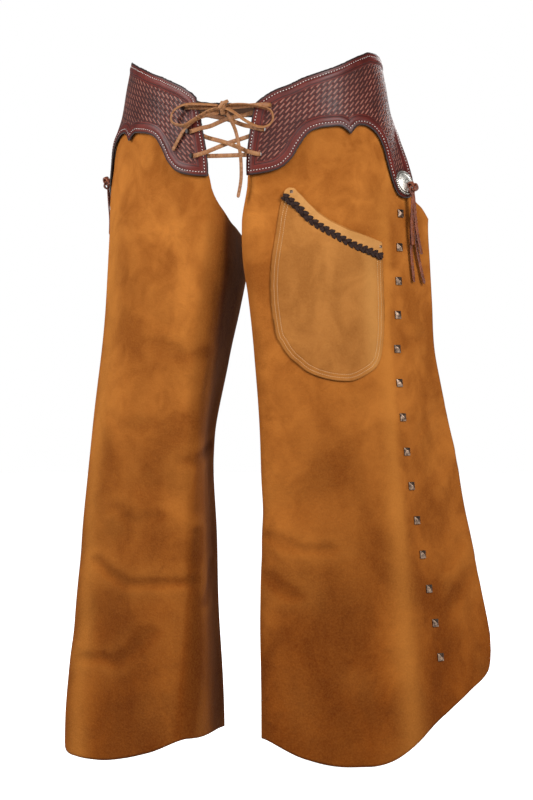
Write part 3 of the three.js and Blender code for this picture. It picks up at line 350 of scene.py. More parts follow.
def sheet_grid(name, across, up, lay, material):
    """A grid laid on the leather. lay gives its points, its UV in metres and its vertex attributes."""
    bm = bmesh.new()
    uv_layer = bm.loops.layers.uv.new("UVMap")
    bmesh.ops.create_grid(bm, x_segments=across, y_segments=up, size=0.5)
    flat = np.array([v.co[:] for v in bm.verts]) + 0.5
    points, uvs, normals, marks = lay(flat[:, 0], flat[:, 1])
    layers = {key: bm.verts.layers.float.new(key) for key in marks}
    for i, vert in enumerate(bm.verts):
        vert.index = i
        vert.co = points[i] / 1000
        for key, layer in layers.items():
            vert[layer] = marks[key][i]
    bm.normal_update()
    facing = sum(v.normal.dot(Vector(normals[v.index])) for v in bm.verts)
    if facing < 0:
        bmesh.ops.reverse_faces(bm, faces=bm.faces)
    for face in bm.faces:
        for loop in face.loops:
            loop[uv_layer].uv = uvs[loop.vert.index] / 1000
    mesh = bpy.data.meshes.new(name)
    bm.to_mesh(mesh)
    bm.free()
    mesh.shade_smooth()
    for each in material:
        mesh.materials.append(each)
    piece = bpy.data.objects.new(name, mesh)
    bpy.context.scene.collection.objects.link(piece)
    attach(piece, "root")
    return piece


def add_wall(piece, thick, offset, inside_slot=0, rim_slot=0):
    wall = piece.modifiers.new("wall", "SOLIDIFY")
    wall.thickness = thick / 1000
    wall.offset = offset
    wall.use_even_offset = False
    wall.material_offset = inside_slot
    wall.material_offset_rim = rim_slot
    return wall


# Creases seen on the suede: a line of (place, height) points, its depth and its width.
creases = {
    "left": [
        ([(5.75, -595), (5.2, -612), (4.7, -611)], 2.6, 8), ([(5.8, -650), (5.35, -676)], 2.4, 8),
        ([(1.45, -455), (0.9, -432), (0.3, -420)], 1.8, 8), ([(1.1, -520), (0.5, -500), (0.1, -492)], 1.4, 9),
        ([(1.3, -700), (0.8, -668), (0.2, -648)], 2.2, 10), ([(1.2, -640), (0.5, -612)], 1.6, 9),
        ([(3.3, -300), (3.05, -400), (3.0, -520)], 1.5, 14), ([(1.6, -330), (0.7, -322)], 1.4, 9),
        ([(4.1, -430), (3.9, -600), (3.95, -760)], 1.2, 20),
    ],
    "right": [
        ([(3.75, -636), (4.2, -652), (4.65, -665), (5.45, -663), (6.05, -660)], 3.4, 8),
        ([(3.5, -775), (4.05, -772), (4.4, -778), (4.85, -755), (5.15, -732)], 2.8, 8),
        ([(6.2, -592), (6.12, -658), (6.07, -702), (6.03, -785), (5.94, -875)], 3.6, 7),
        ([(6.85, -640), (6.45, -693)], 2.0, 7), ([(6.0, -492), (6.6, -482), (7.3, -473)], 3.6, 9),
        ([(6.25, -500), (6.2, -560)], 1.8, 8), ([(4.3, -560), (4.7, -575), (5.2, -570)], 1.8, 9),
        ([(3.9, -430), (4.3, -446), (4.9, -440)], 1.6, 10), ([(3.6, -240), (4.4, -262), (5.2, -300)], 1.5, 14),
        ([(5.1, -330), (5.6, -352), (6.1, -340)], 1.6, 10), ([(4.6, -300), (4.5, -420), (4.7, -520)], 1.3, 20),
    ],
}


def crease_depth(side, at, z):
    """Soft creases with a slight swell beside each, and none near the studs, the yoke or the pocket."""
    shrink = 36.0
    x, y = at * shrink, z
    total = np.zeros_like(x)
    for line, depth, width in creases[side]:
        near = np.full_like(x, 1e9)
        for (a0, z0), (a1, z1) in zip(line, line[1:]):
            ax, bx = a0 * shrink, a1 * shrink
            t = ((x - ax) * (bx - ax) + (y - z0) * (z1 - z0)) / ((bx - ax) ** 2 + (z1 - z0) ** 2)
            t = np.clip(t, 0, 1)
            near = np.minimum(near, np.hypot(x - ax - t * (bx - ax), y - z0 - t * (z1 - z0)))
        total += depth * (0.45 * np.exp(-(near / width / 2.2) ** 2) - np.exp(-(near / width) ** 2))
    ripple = np.sin(at * 2.6 + z / 61 + 1.3) * np.sin(z / 47 - at * 1.1) + 0.6 * np.sin(at * 5.1 - z / 33)
    total += 0.35 * ripple
    clear = np.clip((np.abs(at - 2) - 0.3) / 0.35, 0, 1)
    clear = clear * np.clip((-z - 135) / 50, 0, 1)
    if side == "left":
        over = np.clip((at - 2.9) / 0.3, 0, 1) * np.clip((5.75 - at) / 0.2, 0, 1)
        over = over * np.clip((-z - 90) / 30, 0, 1) * np.clip((z + 400) / 25, 0, 1)
        clear = clear * (1 - over)
    clear = clear * np.clip((10.5 - at) / 1.0, 0, 1)
    return total * clear


def suede_point(side, at, z, lift=0.0):
    """A point on the folded suede, lifted off its middle, in millimetres."""
    normal = outward(side, at, z)
    depth = fold_depth(side, at, z) + crease_depth(side, at, z) + lift
    return leather_surface(side, at, z) + normal * np.asarray(depth)[..., None], normal


def suede_finish(name, light, dark, low, pale, painted_shade_colour):
    """Rough-out cowhide: clouds of two tones, browner downwards, with painted shade and a painted highlight mixed in
    from vertex attributes.
    """
    material, tree, shader = new_finish(name)
    place = add_node(tree, "ShaderNodeTexCoord").outputs["Object"]
    stretch = add_node(tree, "ShaderNodeMapping", {"Vector": place, "Scale": (1.15, 1.15, 0.9)})
    cloud = add_node(tree, "ShaderNodeTexNoise", {"Vector": stretch.outputs[0], "Scale": 9, "Detail": 4,
                                                  "Roughness": 0.5, "Distortion": 0.6})
    patch = add_node(tree, "ShaderNodeTexNoise", {"Vector": stretch.outputs[0], "Scale": 26, "Detail": 6,
                                                  "Roughness": 0.55, "Distortion": 0.9})
    both = add_node(tree, "ShaderNodeMath", {0: patch.outputs["Fac"], 1: 0.65, 2: cloud.outputs["Fac"]},
                    operation="MULTIPLY_ADD")
    tone = add_node(tree, "ShaderNodeMapRange", {"Value": both.outputs[0], 1: 0.66, 2: 0.99})
    colour = add_node(tree, "ShaderNodeMix", {0: tone.outputs[0], 6: hex_colour(dark), 7: hex_colour(light)},
                      data_type="RGBA")
    height = add_node(tree, "ShaderNodeSeparateXYZ", {0: place}).outputs[2]
    wander = add_node(tree, "ShaderNodeMath", {0: cloud.outputs["Fac"], 1: 0.4, 2: height},
                      operation="MULTIPLY_ADD")
    fall = add_node(tree, "ShaderNodeMapRange", {"Value": wander.outputs[0], 1: 0.05, 2: -0.62, 4: 0.9})
    lower = add_node(tree, "ShaderNodeMix", {0: fall.outputs[0], 6: colour.outputs[2], 7: hex_colour(low)},
                     data_type="RGBA", blend_type="MULTIPLY")
    # Painted shade: the shade attribute, mixed with the patch noise, darkens the colour towards the given shade
    # colour.
    shade = add_node(tree, "ShaderNodeAttribute", attribute_name="shade").outputs["Fac"]
    soft = add_node(tree, "ShaderNodeMath", {0: patch.outputs["Fac"], 1: 0.5, 2: shade}, operation="MULTIPLY_ADD")
    patchy_painted_shade = add_node(tree, "ShaderNodeMapRange", {"Value": soft.outputs[0], 1: 0.3, 2: 1.2})
    with_painted_shade = add_node(tree, "ShaderNodeMix", {0: patchy_painted_shade.outputs[0], 6: lower.outputs[2], 7: hex_colour(painted_shade_colour)},
                       data_type="RGBA")
    nap = add_node(tree, "ShaderNodeTexNoise", {"Vector": place, "Scale": 420, "Detail": 3, "Roughness": 0.7})
    # Painted highlight: a vertex attribute, with flecks of nap, lightens the colour towards the pale tone. On the
    # mouth strip the same attribute is only an even paler tint.
    rub = add_node(tree, "ShaderNodeAttribute", attribute_name="rub").outputs["Fac"]
    fleck = add_node(tree, "ShaderNodeMapRange", {"Value": nap.outputs["Fac"], 1: 0.35, 2: 0.75, 4: 0.2})
    nap_and_highlight = add_node(tree, "ShaderNodeMath", {0: rub, 1: 0.5, 2: fleck.outputs[0]}, operation="MULTIPLY_ADD",
                      use_clamp=True)
    shown = add_node(tree, "ShaderNodeMix", {0: nap_and_highlight.outputs[0], 6: with_painted_shade.outputs[2], 7: hex_colour(pale)},
                     data_type="RGBA")
    tree.links.new(shown.outputs[2], shader.inputs["Base Color"])
    rumple = add_node(tree, "ShaderNodeTexNoise", {"Vector": place, "Scale": 75, "Detail": 4, "Roughness": 0.6})
    rough = add_node(tree, "ShaderNodeMath", {0: rumple.outputs["Fac"], 1: 3.0, 2: nap.outputs["Fac"]},
                     operation="MULTIPLY_ADD")
    bump = add_node(tree, "ShaderNodeBump", {"Height": rough.outputs[0], "Strength": 0.5, "Distance": 0.0009})
    tree.links.new(bump.outputs[0], shader.inputs["Normal"])
    shader.inputs["Roughness"].default_value = 0.92
    shader.inputs["Specular IOR Level"].default_value = 0.05
    shader.inputs["Sheen Weight"].default_value = 0.07
    shader.inputs["Sheen Roughness"].default_value = 0.5
    shader.inputs["Sheen Tint"].default_value = hex_colour("#D88838")
    return material


suede = suede_finish("rough_out_suede", "#C67A34", "#9C5820", "#B08C48", "#CC8238", "#522608")
# The inside faces are dark brown: the leather's inside colour, darkened as painted shade for the hollow legs.
inside_suede, tree, shader = new_finish("leather_inside")
shader.inputs["Base Color"].default_value = hex_colour("#4A2C16")
shader.inputs["Roughness"].default_value = 0.85

leg_pieces = {}
for side in side_sign:
    place_of, leg_width = even_places(side, -520, 0, 13)

    def lay_leg(s, t, side=side, place_of=place_of, leg_width=leg_width):
        at = place_of(s)
        hem, top = -leg_length * smooth(leg_hem[side], at), -yoke_drop * smooth(leg_top, at)
        z = hem + (top - hem) * t
        points, normals = suede_point(side, at, z)
        uv = np.stack([s * leg_width, z], axis=1)
        level = np.clip(-z / leg_length, 0, 1)
        # Painted highlight: a pale band down the front ridge of the leg, and on the swell beside each crease.
        ridge, reach = (3.03, 0.34) if side == "left" else (3.42, 0.3)
        rub = 0.9 * np.exp(-((at - ridge) / reach) ** 2) * np.clip((level - 0.08) / 0.1, 0, 1)
        fold = crease_depth(side, at, z)
        rub = np.clip(rub + 0.35 * np.clip(fold / 0.9, 0, 1), 0, 1)
        # Painted shade: between the thighs, down the middle of the front lower on the leg, and in each crease.
        inner = np.clip((at - 5.75) / 0.5, 0, 1) * np.clip((9.4 - at) / 1.4, 0, 1)
        inner = inner * np.clip((level - 0.08) / 0.12, 0, 1)
        middle = np.exp(-((at - 4.6) / 0.75) ** 2) * np.clip((level - 0.35) / 0.4, 0, 1)
        between = 0.85 - 0.45 * np.clip((level - 0.38) / 0.2, 0, 1) if side == "right" else 0.25
        shade = between * inner + 0.26 * middle + 0.28 * np.clip(-fold / 2.8, 0, 1)
        # Painted shade beyond the fold line near the inner hem of the right leg.
        if side == "right":
            shade = shade + 0.14 * np.clip((at - 6.04) / 0.08, 0, 1) * np.clip((9.4 - at) / 1.4, 0, 1) \
                * np.clip((level - 0.6) / 0.12, 0, 1)
        return points, uv, normals, {"hem": z - hem, "rub": rub, "shade": shade}

    leg = sheet_grid(f"suede_leg_{side}", 205, 225, lay_leg, [suede, inside_suede])
    add_wall(leg, leg_wall, 0, inside_slot=1, rim_slot=0)
    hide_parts(f"leg_{side}")
    leg_pieces[side] = leg

# Yokes. Each is two layers of vegetable-tanned cowhide, basket stamped inside a plain burnished border,
# dyed mahogany with near-black edges, and sewn all round with waxed white thread 5 mm in from the edge.
yoke_wall, layer_gap = 3.6, 1.5
yoke_lift = leg_wall / 2 + layer_gap + yoke_wall / 2
yoke_top = {
    "left": [(0, 0.41), (0.35, 0.41), (0.5, 0.42), (0.62, 0.475), (0.76, 0.61), (0.9, 0.715), (1, 0.77),
             (1.4, 0.83), (1.8, 0.875), (2.1, 0.91), (2.5, 0.935), (3, 0.935), (3.29, 0.89), (3.76, 0.785),
             (4.23, 0.65), (4.7, 0.53), (5.17, 0.405), (5.4, 0.33), (5.68, 0.24), (5.92, 0.1), (6, 0.03)],
    "right": [(0, 0.41), (0.35, 0.41), (0.5, 0.42), (0.62, 0.475), (0.76, 0.61), (0.9, 0.715), (1, 0.77),
              (1.4, 0.83), (1.8, 0.875), (2.1, 0.91), (2.5, 0.935), (3, 0.935), (3.29, 0.905), (3.76, 0.835),
              (4.23, 0.74), (4.7, 0.615), (5.17, 0.505), (5.4, 0.45), (5.68, 0.36), (5.92, 0.235), (6, 0.17)],
}
yoke_foot = [(0, -0.13), (0.5, -0.12), (1, -0.05), (1.25, -0.01), (1.36, 0.06), (1.42, 0.2), (1.46, 0.4),
             (1.5, 0.62), (1.55, 0.82), (1.65, 0.95), (1.78, 0.995), (1.95, 1), (2.15, 0.985), (2.38, 0.93),
             (2.63, 0.78), (3, 0.45), (3.31, 0.27), (3.67, 0.2), (4.04, 0.205), (4.48, 0.225), (4.76, 0.25),
             (4.98, 0.31), (5.14, 0.44), (5.25, 0.58), (5.42, 0.7), (5.7, 0.755), (6, 0.77)]
hole_drops, hole_across, lace_hole = [0, 33, 67], [61, 53, 48], 6.6


def yoke_foot_drop(at):
    near = np.maximum(0, 1 - np.abs(at - 4.04) / 0.3)
    return smooth(yoke_foot, at) + 0.1 * near * near


def yoke_place(at, z):
    rise = np.clip((z + yoke_drop) / (yoke_drop + yoke_rise), 0, 1)
    fall = np.clip((-z / yoke_drop - 0.35) / 0.45, 0, 1)
    near = np.exp(-(((at - 1.5) / 0.45) ** 2))
    return at - 0.68 * rise ** 2 * np.maximum(0, at - 5) - 0.3 * fall * near


def crowd(share):
    """Shares drawn towards both ends, so that edges can be rounded."""
    return 0.55 * share + 0.45 * (0.5 - 0.5 * np.cos(np.pi * share))


def edge_distance(points, outline):
    tree = kdtree.KDTree(len(outline))
    for i, point in enumerate(outline):
        tree.insert(point, i)
    tree.balance()
    return np.array([tree.find(point)[2] for point in points])


def dense(points, pitch=0.7):
    points = np.asarray(points)
    run = np.concatenate([[0], np.cumsum(np.linalg.norm(np.diff(points, axis=0), axis=1))])
    at = np.linspace(0, run[-1], max(2, int(run[-1] / pitch)))
    return np.stack([np.interp(at, run, points[:, k]) for k in range(3)], axis=1)


def seam_line(outline, normals, distance, sense):
    """A line on the leather, a distance in from its outline, with the normals under it."""
    tangent = np.gradient(outline, axis=0)
    tangent /= np.maximum(np.linalg.norm(tangent, axis=1, keepdims=True), 1e-9)
    inward = np.cross(normals, tangent) * sense
    inward /= np.linalg.norm(inward, axis=1, keepdims=True)
    moved = outline + inward * distance
    keep = edge_distance(moved, outline) > distance - 0.25
    return moved[keep], normals[keep]


def add_stitches(name, rows, pitch, length, width, finish):
    """Rows of thread, each stitch a small rounded bead that dips into the leather at both ends."""
    bm = bmesh.new()
    for points, normals in rows:
        run = np.concatenate([[0], np.cumsum(np.linalg.norm(np.diff(points, axis=0), axis=1))])
        count = int(run[-1] / pitch)
        at = (np.arange(count) + 0.5) * pitch
        spots = np.stack([np.interp(at, run, points[:, k]) for k in range(3)], axis=1)
        ahead = np.stack([np.interp(at + 0.8, run, points[:, k]) for k in range(3)], axis=1)
        behind = np.stack([np.interp(at - 0.8, run, points[:, k]) for k in range(3)], axis=1)
        ups = np.stack([np.interp(at, run, normals[:, k]) for k in range(3)], axis=1)
        gap = np.interp(at, run, np.concatenate([[0], np.linalg.norm(np.diff(points, axis=0), axis=1)]))
        for spot, way, up, jump in zip(spots, ahead - behind, ups, gap):
            if jump > 2.5:
                continue
            x = Vector(way).normalized()
            z = (Vector(up) - x * x.dot(Vector(up))).normalized()
            x = (x + z.cross(x) * 0.16).normalized()
            y = z.cross(x)
            turn = Matrix((x * length / 2, y * width / 2, z * width * 0.42)).transposed().to_4x4()
            turn.translation = Vector(spot)
            bmesh.ops.create_icosphere(bm, subdivisions=1, radius=1, matrix=turn)
    bmesh.ops.scale(bm, verts=bm.verts, vec=(0.001, 0.001, 0.001))
    return finish_piece(bm, name, finish)


thread, tree, shader = new_finish("waxed_thread")
shader.inputs["Base Color"].default_value = hex_colour("#F2E8E0")
shader.inputs["Roughness"].default_value = 0.6

# The dye lies darkest in the stamped ditches. The dash tops turn a greyish pink, partly burnished and partly a painted
# highlight.
stamped, tree, shader = new_finish("stamped_mahogany_leather")
uv = add_node(tree, "ShaderNodeUVMap", uv_map="UVMap").outputs[0]
place = add_node(tree, "ShaderNodeTexCoord").outputs["Object"]
edge = add_node(tree, "ShaderNodeAttribute", attribute_name="edge").outputs["Fac"]
turned = add_node(tree, "ShaderNodeMapping", {"Vector": uv, "Rotation": (0, 0, math.radians(47))})
split = add_node(tree, "ShaderNodeSeparateXYZ", {0: turned.outputs[0]})


def yoke_math(kind, *values, clamp=False):
    return add_node(tree, "ShaderNodeMath", dict(enumerate(values)), operation=kind, use_clamp=clamp).outputs[0]


row = yoke_math("MULTIPLY", split.outputs[1], 1 / 0.00465)
shifted = yoke_math("MULTIPLY_ADD", yoke_math("FLOOR", row), 0.47, yoke_math("MULTIPLY", split.outputs[0], 1 / 0.0144))
row_off = yoke_math("ABSOLUTE", yoke_math("SUBTRACT", yoke_math("FRACT", row), 0.5))
dash_off = yoke_math("ABSOLUTE", yoke_math("SUBTRACT", yoke_math("FRACT", shifted), 0.5))
# A raised dash 9.6 by 2.4 mm in each cell of 14.4 by 4.65 mm, and fine ribs across between the dashes.
wide = add_node(tree, "ShaderNodeMapRange", {"Value": row_off, 1: 0.3, 2: 0.13}, interpolation_type="SMOOTHSTEP")
long = add_node(tree, "ShaderNodeMapRange", {"Value": dash_off, 1: 0.38, 2: 0.3}, interpolation_type="SMOOTHSTEP")
dash = yoke_math("MULTIPLY", wide.outputs[0], long.outputs[0])
rib_wave = yoke_math("SINE", yoke_math("MULTIPLY", shifted, 2 * math.pi * 8))
rib = yoke_math("MULTIPLY", yoke_math("MULTIPLY_ADD", rib_wave, 0.16, 0.22), yoke_math("SUBTRACT", 1.0, long.outputs[0]))
field = add_node(tree, "ShaderNodeMapRange", {"Value": edge, 1: 15.0, 2: 16.2})
stamp = yoke_math("MAXIMUM", dash, rib)
plain = yoke_math("SUBTRACT", 1.0, field.outputs[0])
whole = yoke_math("MAXIMUM", yoke_math("MULTIPLY", stamp, field.outputs[0]), yoke_math("MULTIPLY", plain, 0.8))
line_off = yoke_math("COMPARE", edge, 12.4, 0.6)
seam_off = yoke_math("COMPARE", edge, 5.0, 0.75)
scored = yoke_math("MULTIPLY_ADD", seam_off, 0.45, line_off)
level = yoke_math("SUBTRACT", whole, scored)
bump = add_node(tree, "ShaderNodeBump", {"Height": level, "Strength": 1.0, "Distance": 0.0013})
pores = add_node(tree, "ShaderNodeTexNoise", {"Vector": place, "Scale": 1100, "Detail": 2})
fine = add_node(tree, "ShaderNodeBump", {"Height": pores.outputs["Fac"], "Strength": 0.2, "Distance": 0.0002,
                                         "Normal": bump.outputs[0]})
tree.links.new(fine.outputs[0], shader.inputs["Normal"])
cloud = add_node(tree, "ShaderNodeTexNoise", {"Vector": place, "Scale": 32, "Detail": 4, "Roughness": 0.6})
tone = add_node(tree, "ShaderNodeMapRange", {"Value": cloud.outputs["Fac"], 1: 0.3, 2: 0.7})
hide = add_node(tree, "ShaderNodeMix", {0: tone.outputs[0], 6: hex_colour("#48110A"), 7: hex_colour("#702014")},
                data_type="RGBA")
# The dash tops go paler: partly burnished, partly a painted highlight.
top = yoke_math("MULTIPLY", dash, field.outputs[0])
patchy = add_node(tree, "ShaderNodeMapRange", {"Value": cloud.outputs["Fac"], 1: 0.35, 2: 0.6, 3: 0.35, 4: 1.0})
burnish_and_highlight = add_node(tree, "ShaderNodeMix", {0: yoke_math("MULTIPLY", top, patchy.outputs[0]), 6: hide.outputs[2],
                                          7: hex_colour("#A86A5A")}, data_type="RGBA")
depth = add_node(tree, "ShaderNodeMapRange", {"Value": whole, 1: 0.05, 2: 0.45, 3: 0.8, 4: 0.0})
inked = add_node(tree, "ShaderNodeMix", {0: depth.outputs[0], 6: burnish_and_highlight.outputs[2], 7: hex_colour("#270C09")},
                 data_type="RGBA")
rim = add_node(tree, "ShaderNodeMapRange", {"Value": edge, 1: 0.9, 2: 2.8, 3: 0.95, 4: 0.0})
ring = yoke_math("MULTIPLY_ADD", line_off, 0.75, yoke_math("MULTIPLY_ADD", seam_off, 0.6, rim.outputs[0]), clamp=True)
dyed = add_node(tree, "ShaderNodeMix", {0: ring, 6: inked.outputs[2], 7: hex_colour("#1B0C0A")},
                data_type="RGBA")
tree.links.new(dyed.outputs[2], shader.inputs["Base Color"])
gloss = add_node(tree, "ShaderNodeMapRange", {"Value": cloud.outputs["Fac"], 1: 0.3, 2: 0.7, 3: 0.36, 4: 0.5})
tree.links.new(gloss.outputs[0], shader.inputs["Roughness"])
shader.inputs["Specular IOR Level"].default_value = 0.3
shader.inputs["Coat Weight"].default_value = 0.06
shader.inputs["Coat Roughness"].default_value = 0.25

dyed_edge, tree, shader = new_finish("dyed_leather_edge")
shader.inputs["Base Color"].default_value = hex_colour("#1B0E0C")
shader.inputs["Roughness"].default_value = 0.45


def yoke_point(side, at, z, lift=0.0):
    shifted = yoke_place(at, z)
    normal = outward(side, shifted, z)
    return leather_surface(side, shifted, z) + normal * (yoke_lift + np.asarray(lift))[..., None], normal


def lace_holes(side):
    """Centre and normal of each lace hole, where the yoke reaches that far across."""
    found = []
    for drop, across in zip(hole_drops, hole_across):
        at = np.linspace(5, 6, 400)
        x = np.abs(leather_surface(side, at, np.full(400, -float(drop)))[:, 0])
        spot = np.array([np.interp(-across, -x, at)])
        normal = outward(side, spot, np.array([-float(drop)]))[0]
        centre = leather_surface(side, spot, np.array([-float(drop)]))[0] + normal * yoke_lift
        found.append((centre, normal))
    return found


yoke_pieces = {}
for side in side_sign:
    place_of, yoke_width = even_places(side, -20, 0, 6, extra=lambda at: 0.8 * yoke_drop * yoke_foot_drop(at))
    at_line = np.linspace(-0.4, 6, 900)
    line = leather_surface(side, at_line, np.full(900, -20.0))
    run = np.concatenate([[0], np.cumsum(np.linalg.norm(np.diff(line, axis=0), axis=1))])

    def yoke_spot(s, t, side=side, place_of=place_of):
        at = place_of(s)
        foot, top = -yoke_drop * yoke_foot_drop(at), yoke_rise * smooth(yoke_top[side], at)
        return at, foot + (top - foot) * t

    long, short = np.linspace(0, 1, 1400), np.linspace(0, 1, 260)
    sides = [(long, 0 * long), (0 * short + 1, short), (long[::-1], 0 * long + 1), (0 * short, short[::-1])]
    loop = [yoke_spot(s, t) for s, t in sides]
    loop_at, loop_z = (np.concatenate([part[k] for part in loop]) for k in (0, 1))
    outline, outline_normals = yoke_point(side, loop_at, loop_z)

    def lay_yoke(s, t, side=side, outline=outline, run=run, at_line=at_line):
        at, z = yoke_spot(crowd(s), crowd(t))
        flat_points, normals = yoke_point(side, at, z)
        edge = edge_distance(flat_points, dense(outline))
        curl = 0.9 * (1 - np.sqrt(np.clip(1 - (1 - np.clip(edge / 1.4, 0, 1)) ** 2, 0, 1)))
        sink = 0.7 * np.clip((edge - 12.0) / 3.0, 0, 1) + 0.3 * np.exp(-((edge - 5) / 1.1) ** 2)
        swell = 0.5 * np.sin(np.clip((edge - 6.2) / 5.8, 0, 1) * np.pi)
        points = flat_points + normals * (swell - curl - sink)[:, None]
        u = np.interp(yoke_place(at, z), at_line, run)
        return points, np.stack([u, z], axis=1), normals, {"edge": edge}

    yoke = sheet_grid(f"stamped_yoke_{side}", 300, 84, lay_yoke, [stamped, dyed_edge, inside_suede])
    add_wall(yoke, yoke_wall, 0, inside_slot=2, rim_slot=1)
    punches = bmesh.new()
    for centre, normal in lace_holes(side):
        turn = Vector(normal).to_track_quat("Z", "Y").to_matrix().to_4x4()
        turn = turn @ Matrix.Diagonal((0.55, 1, 1, 1))
        turn.translation = Vector(centre) / 1000
        bmesh.ops.create_cone(punches, cap_ends=True, segments=24, radius1=lace_hole / 2000,
                              radius2=lace_hole / 2000, depth=0.02, matrix=turn)
    punch_mesh = bpy.data.meshes.new("punch")
    punches.to_mesh(punch_mesh)
    punches.free()
    punch_mesh.materials.append(dyed_edge)
    punch = bpy.data.objects.new("punch", punch_mesh)
    bpy.context.scene.collection.objects.link(punch)
    cut = yoke.modifiers.new("holes", "BOOLEAN")
    cut.object = punch
    cut.solver = "EXACT"
    cut.material_mode = "TRANSFER"
    depsgraph = bpy.context.evaluated_depsgraph_get()
    punched = bpy.data.meshes.new_from_object(yoke.evaluated_get(depsgraph))
    yoke.modifiers.clear()
    yoke.data = punched
    bpy.data.objects.remove(punch)
    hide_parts(f"yoke_{side}")
    yoke_pieces[side] = yoke
    seam = seam_line(outline, outline_normals, 5.0, -side_sign[side])
    top_of_wall = seam[0] + seam[1] * (yoke_wall / 2)
    add_stitches(f"yoke_stitches_{side}", [(top_of_wall, seam[1])], 4.4, 2.3, 1.3, thread)

# Pocket. A patch of lighter rough-out cowhide on the wearer's left thigh, sewn down by two rows of cream
# thread round its sides and foot. Its mouth is bound by a strip whose lower edge carries a dark braid.
pocket_wall, pocket_gap = 2.0, 0.9
pocket_rows = [
    (0, 0.272, 0.3), (0.016, 0.2395, 0.343), (0.05, 0.187, 0.359), (0.062, 0.138, 0.364),
    (0.078, 0.1255, 0.37), (0.12, 0.1238, 0.381), (0.15, 0.1295, 0.386), (0.25, 0.1475, 0.4005),
    (0.41, 0.1686, 0.4115), (0.6, 0.1841, 0.4155), (0.8, 0.1948, 0.403), (0.92, 0.2003, 0.382),
    (0.98, 0.203, 0.342), (1, 0.204, 0.3)]
pocket_inside, pocket_outside = 5.5, 3.12
pocket_tops = [(across, top) for across, top, foot in pocket_rows]
pocket_feet = [(across, foot) for across, top, foot in pocket_rows]
pocket_lift = leg_wall / 2 + pocket_gap + pocket_wall / 2


def pocket_spot(s, t):
    top, foot = -leg_length * smooth(pocket_tops, s), -leg_length * smooth(pocket_feet, s)
    return pocket_inside + (pocket_outside - pocket_inside) * s, foot + (top - foot) * t


across_run = 0.5 - 0.5 * np.cos(np.linspace(0, np.pi, 1800))
foot_at, foot_z = pocket_spot(across_run, 0 * across_run)
foot_points, foot_normals = suede_point("left", foot_at, foot_z, pocket_lift)
top_at, top_z = pocket_spot(across_run, 0 * across_run + 1)
top_points, top_normals = suede_point("left", top_at, top_z, pocket_lift)
up_run = np.linspace(0, 1, 120)
near_side = suede_point("left", *pocket_spot(0 * up_run, up_run), pocket_lift)
far_side = suede_point("left", *pocket_spot(0 * up_run + 1, up_run), pocket_lift)
corner = across_run < 0.063
sewn_edge = np.concatenate([top_points[corner][::-1], near_side[0][::-1], foot_points, far_side[0]])
sewn_normals = np.concatenate([top_normals[corner][::-1], near_side[1][::-1], foot_normals, far_side[1]])
pocket_outline = np.concatenate([sewn_edge, top_points[::-1]])


def lay_pocket(s, t):
    s = 0.75 * s + 0.25 * (0.5 - 0.5 * np.cos(np.pi * s))
    at, z = pocket_spot(s, crowd(t))
    flat_points, normals = suede_point("left", at, z, pocket_lift)
    edge = edge_distance(flat_points, dense(pocket_outline))
    sewn = edge_distance(flat_points, dense(sewn_edge))
    curl = 0.6 * (1 - np.sqrt(np.clip(1 - (1 - np.clip(edge / 1.2, 0, 1)) ** 2, 0, 1)))
    puff = 2.2 * np.clip((sewn - 11) / 42, 0, 1) ** 0.8
    sink = 0.45 * np.exp(-((sewn - 4.6) / 1.2) ** 2) + 0.45 * np.exp(-((sewn - 9.2) / 1.2) ** 2)
    points = flat_points + normals * (puff - curl - sink)[:, None]
    uv = np.stack([s * 155, z], axis=1)
    # A painted highlight along the ridge of the leg, and painted shade within 3 mm of the sewn edge.
    return points, uv, normals, {"rub": 0.9 * np.exp(-((at - 3.42) / 0.2) ** 2), "shade": 0.2 * (sewn < 3)}


pocket_suede = suede_finish("pocket_suede", "#C07E3E", "#A3662E", "#E0D0C4", "#D0934F", "#8A5426")
pocket = sheet_grid("patch_pocket", 110, 130, lay_pocket, [pocket_suede, inside_suede])
add_wall(pocket, pocket_wall, 0, inside_slot=1)
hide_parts("thigh_pocket")
cream_thread, tree, shader = new_finish("cream_thread")
shader.inputs["Base Color"].default_value = hex_colour("#E0BE92")
shader.inputs["Roughness"].default_value = 0.7
pocket_seams = []
for distance in (4.6, 9.2):
    seam = seam_line(sewn_edge, sewn_normals, distance, 1)
    pocket_seams.append((seam[0] + seam[1] * (pocket_wall / 2 - 0.35), seam[1]))
add_stitches("pocket_stitches", pocket_seams, 3.0, 1.9, 0.9, cream_thread)

# Mouth strip. A separate narrow strip of the same suede folded over the pocket's mouth, so that it stands a
# little proud of the pocket. Its edges are cut raw and its lower edge is hidden by the braid.
braid_rows = [(0.062, 0.136), (0.148, 0.15), (0.294, 0.174), (0.5, 0.195), (0.687, 0.21), (0.853, 0.219),
              (0.985, 0.2265)]
strip_ends = 0.064, 0.984


def strip_spot(s, t):
    across = strip_ends[0] + (strip_ends[1] - strip_ends[0]) * s
    low, high = smooth(braid_rows, across), smooth(pocket_tops, across)
    at = pocket_inside + (pocket_outside - pocket_inside) * across
    return at, -leg_length * (low + (high - low) * t) - 1.2 * t


def lay_strip(s, t):
    at, z = strip_spot(crowd(s), crowd(t))
    points, normals = suede_point("left", at, z, pocket_lift + pocket_wall / 2 + 1.1)
    points = points + normals * (0.9 * np.sin(np.clip(t, 0, 1) * np.pi) ** 0.5)[:, None]
    return points, np.stack([s * 150, z], axis=1), normals, {"rub": 0.25 + 0 * s, "shade": 0 * s}


strip_suede = suede_finish("mouth_strip_suede", "#D6995A", "#BE8244", "#EEE4DC", "#E0A868", "#9A6230")
strip = sheet_grid("mouth_strip", 90, 10, lay_strip, [strip_suede])
add_wall(strip, 1.4, 0)

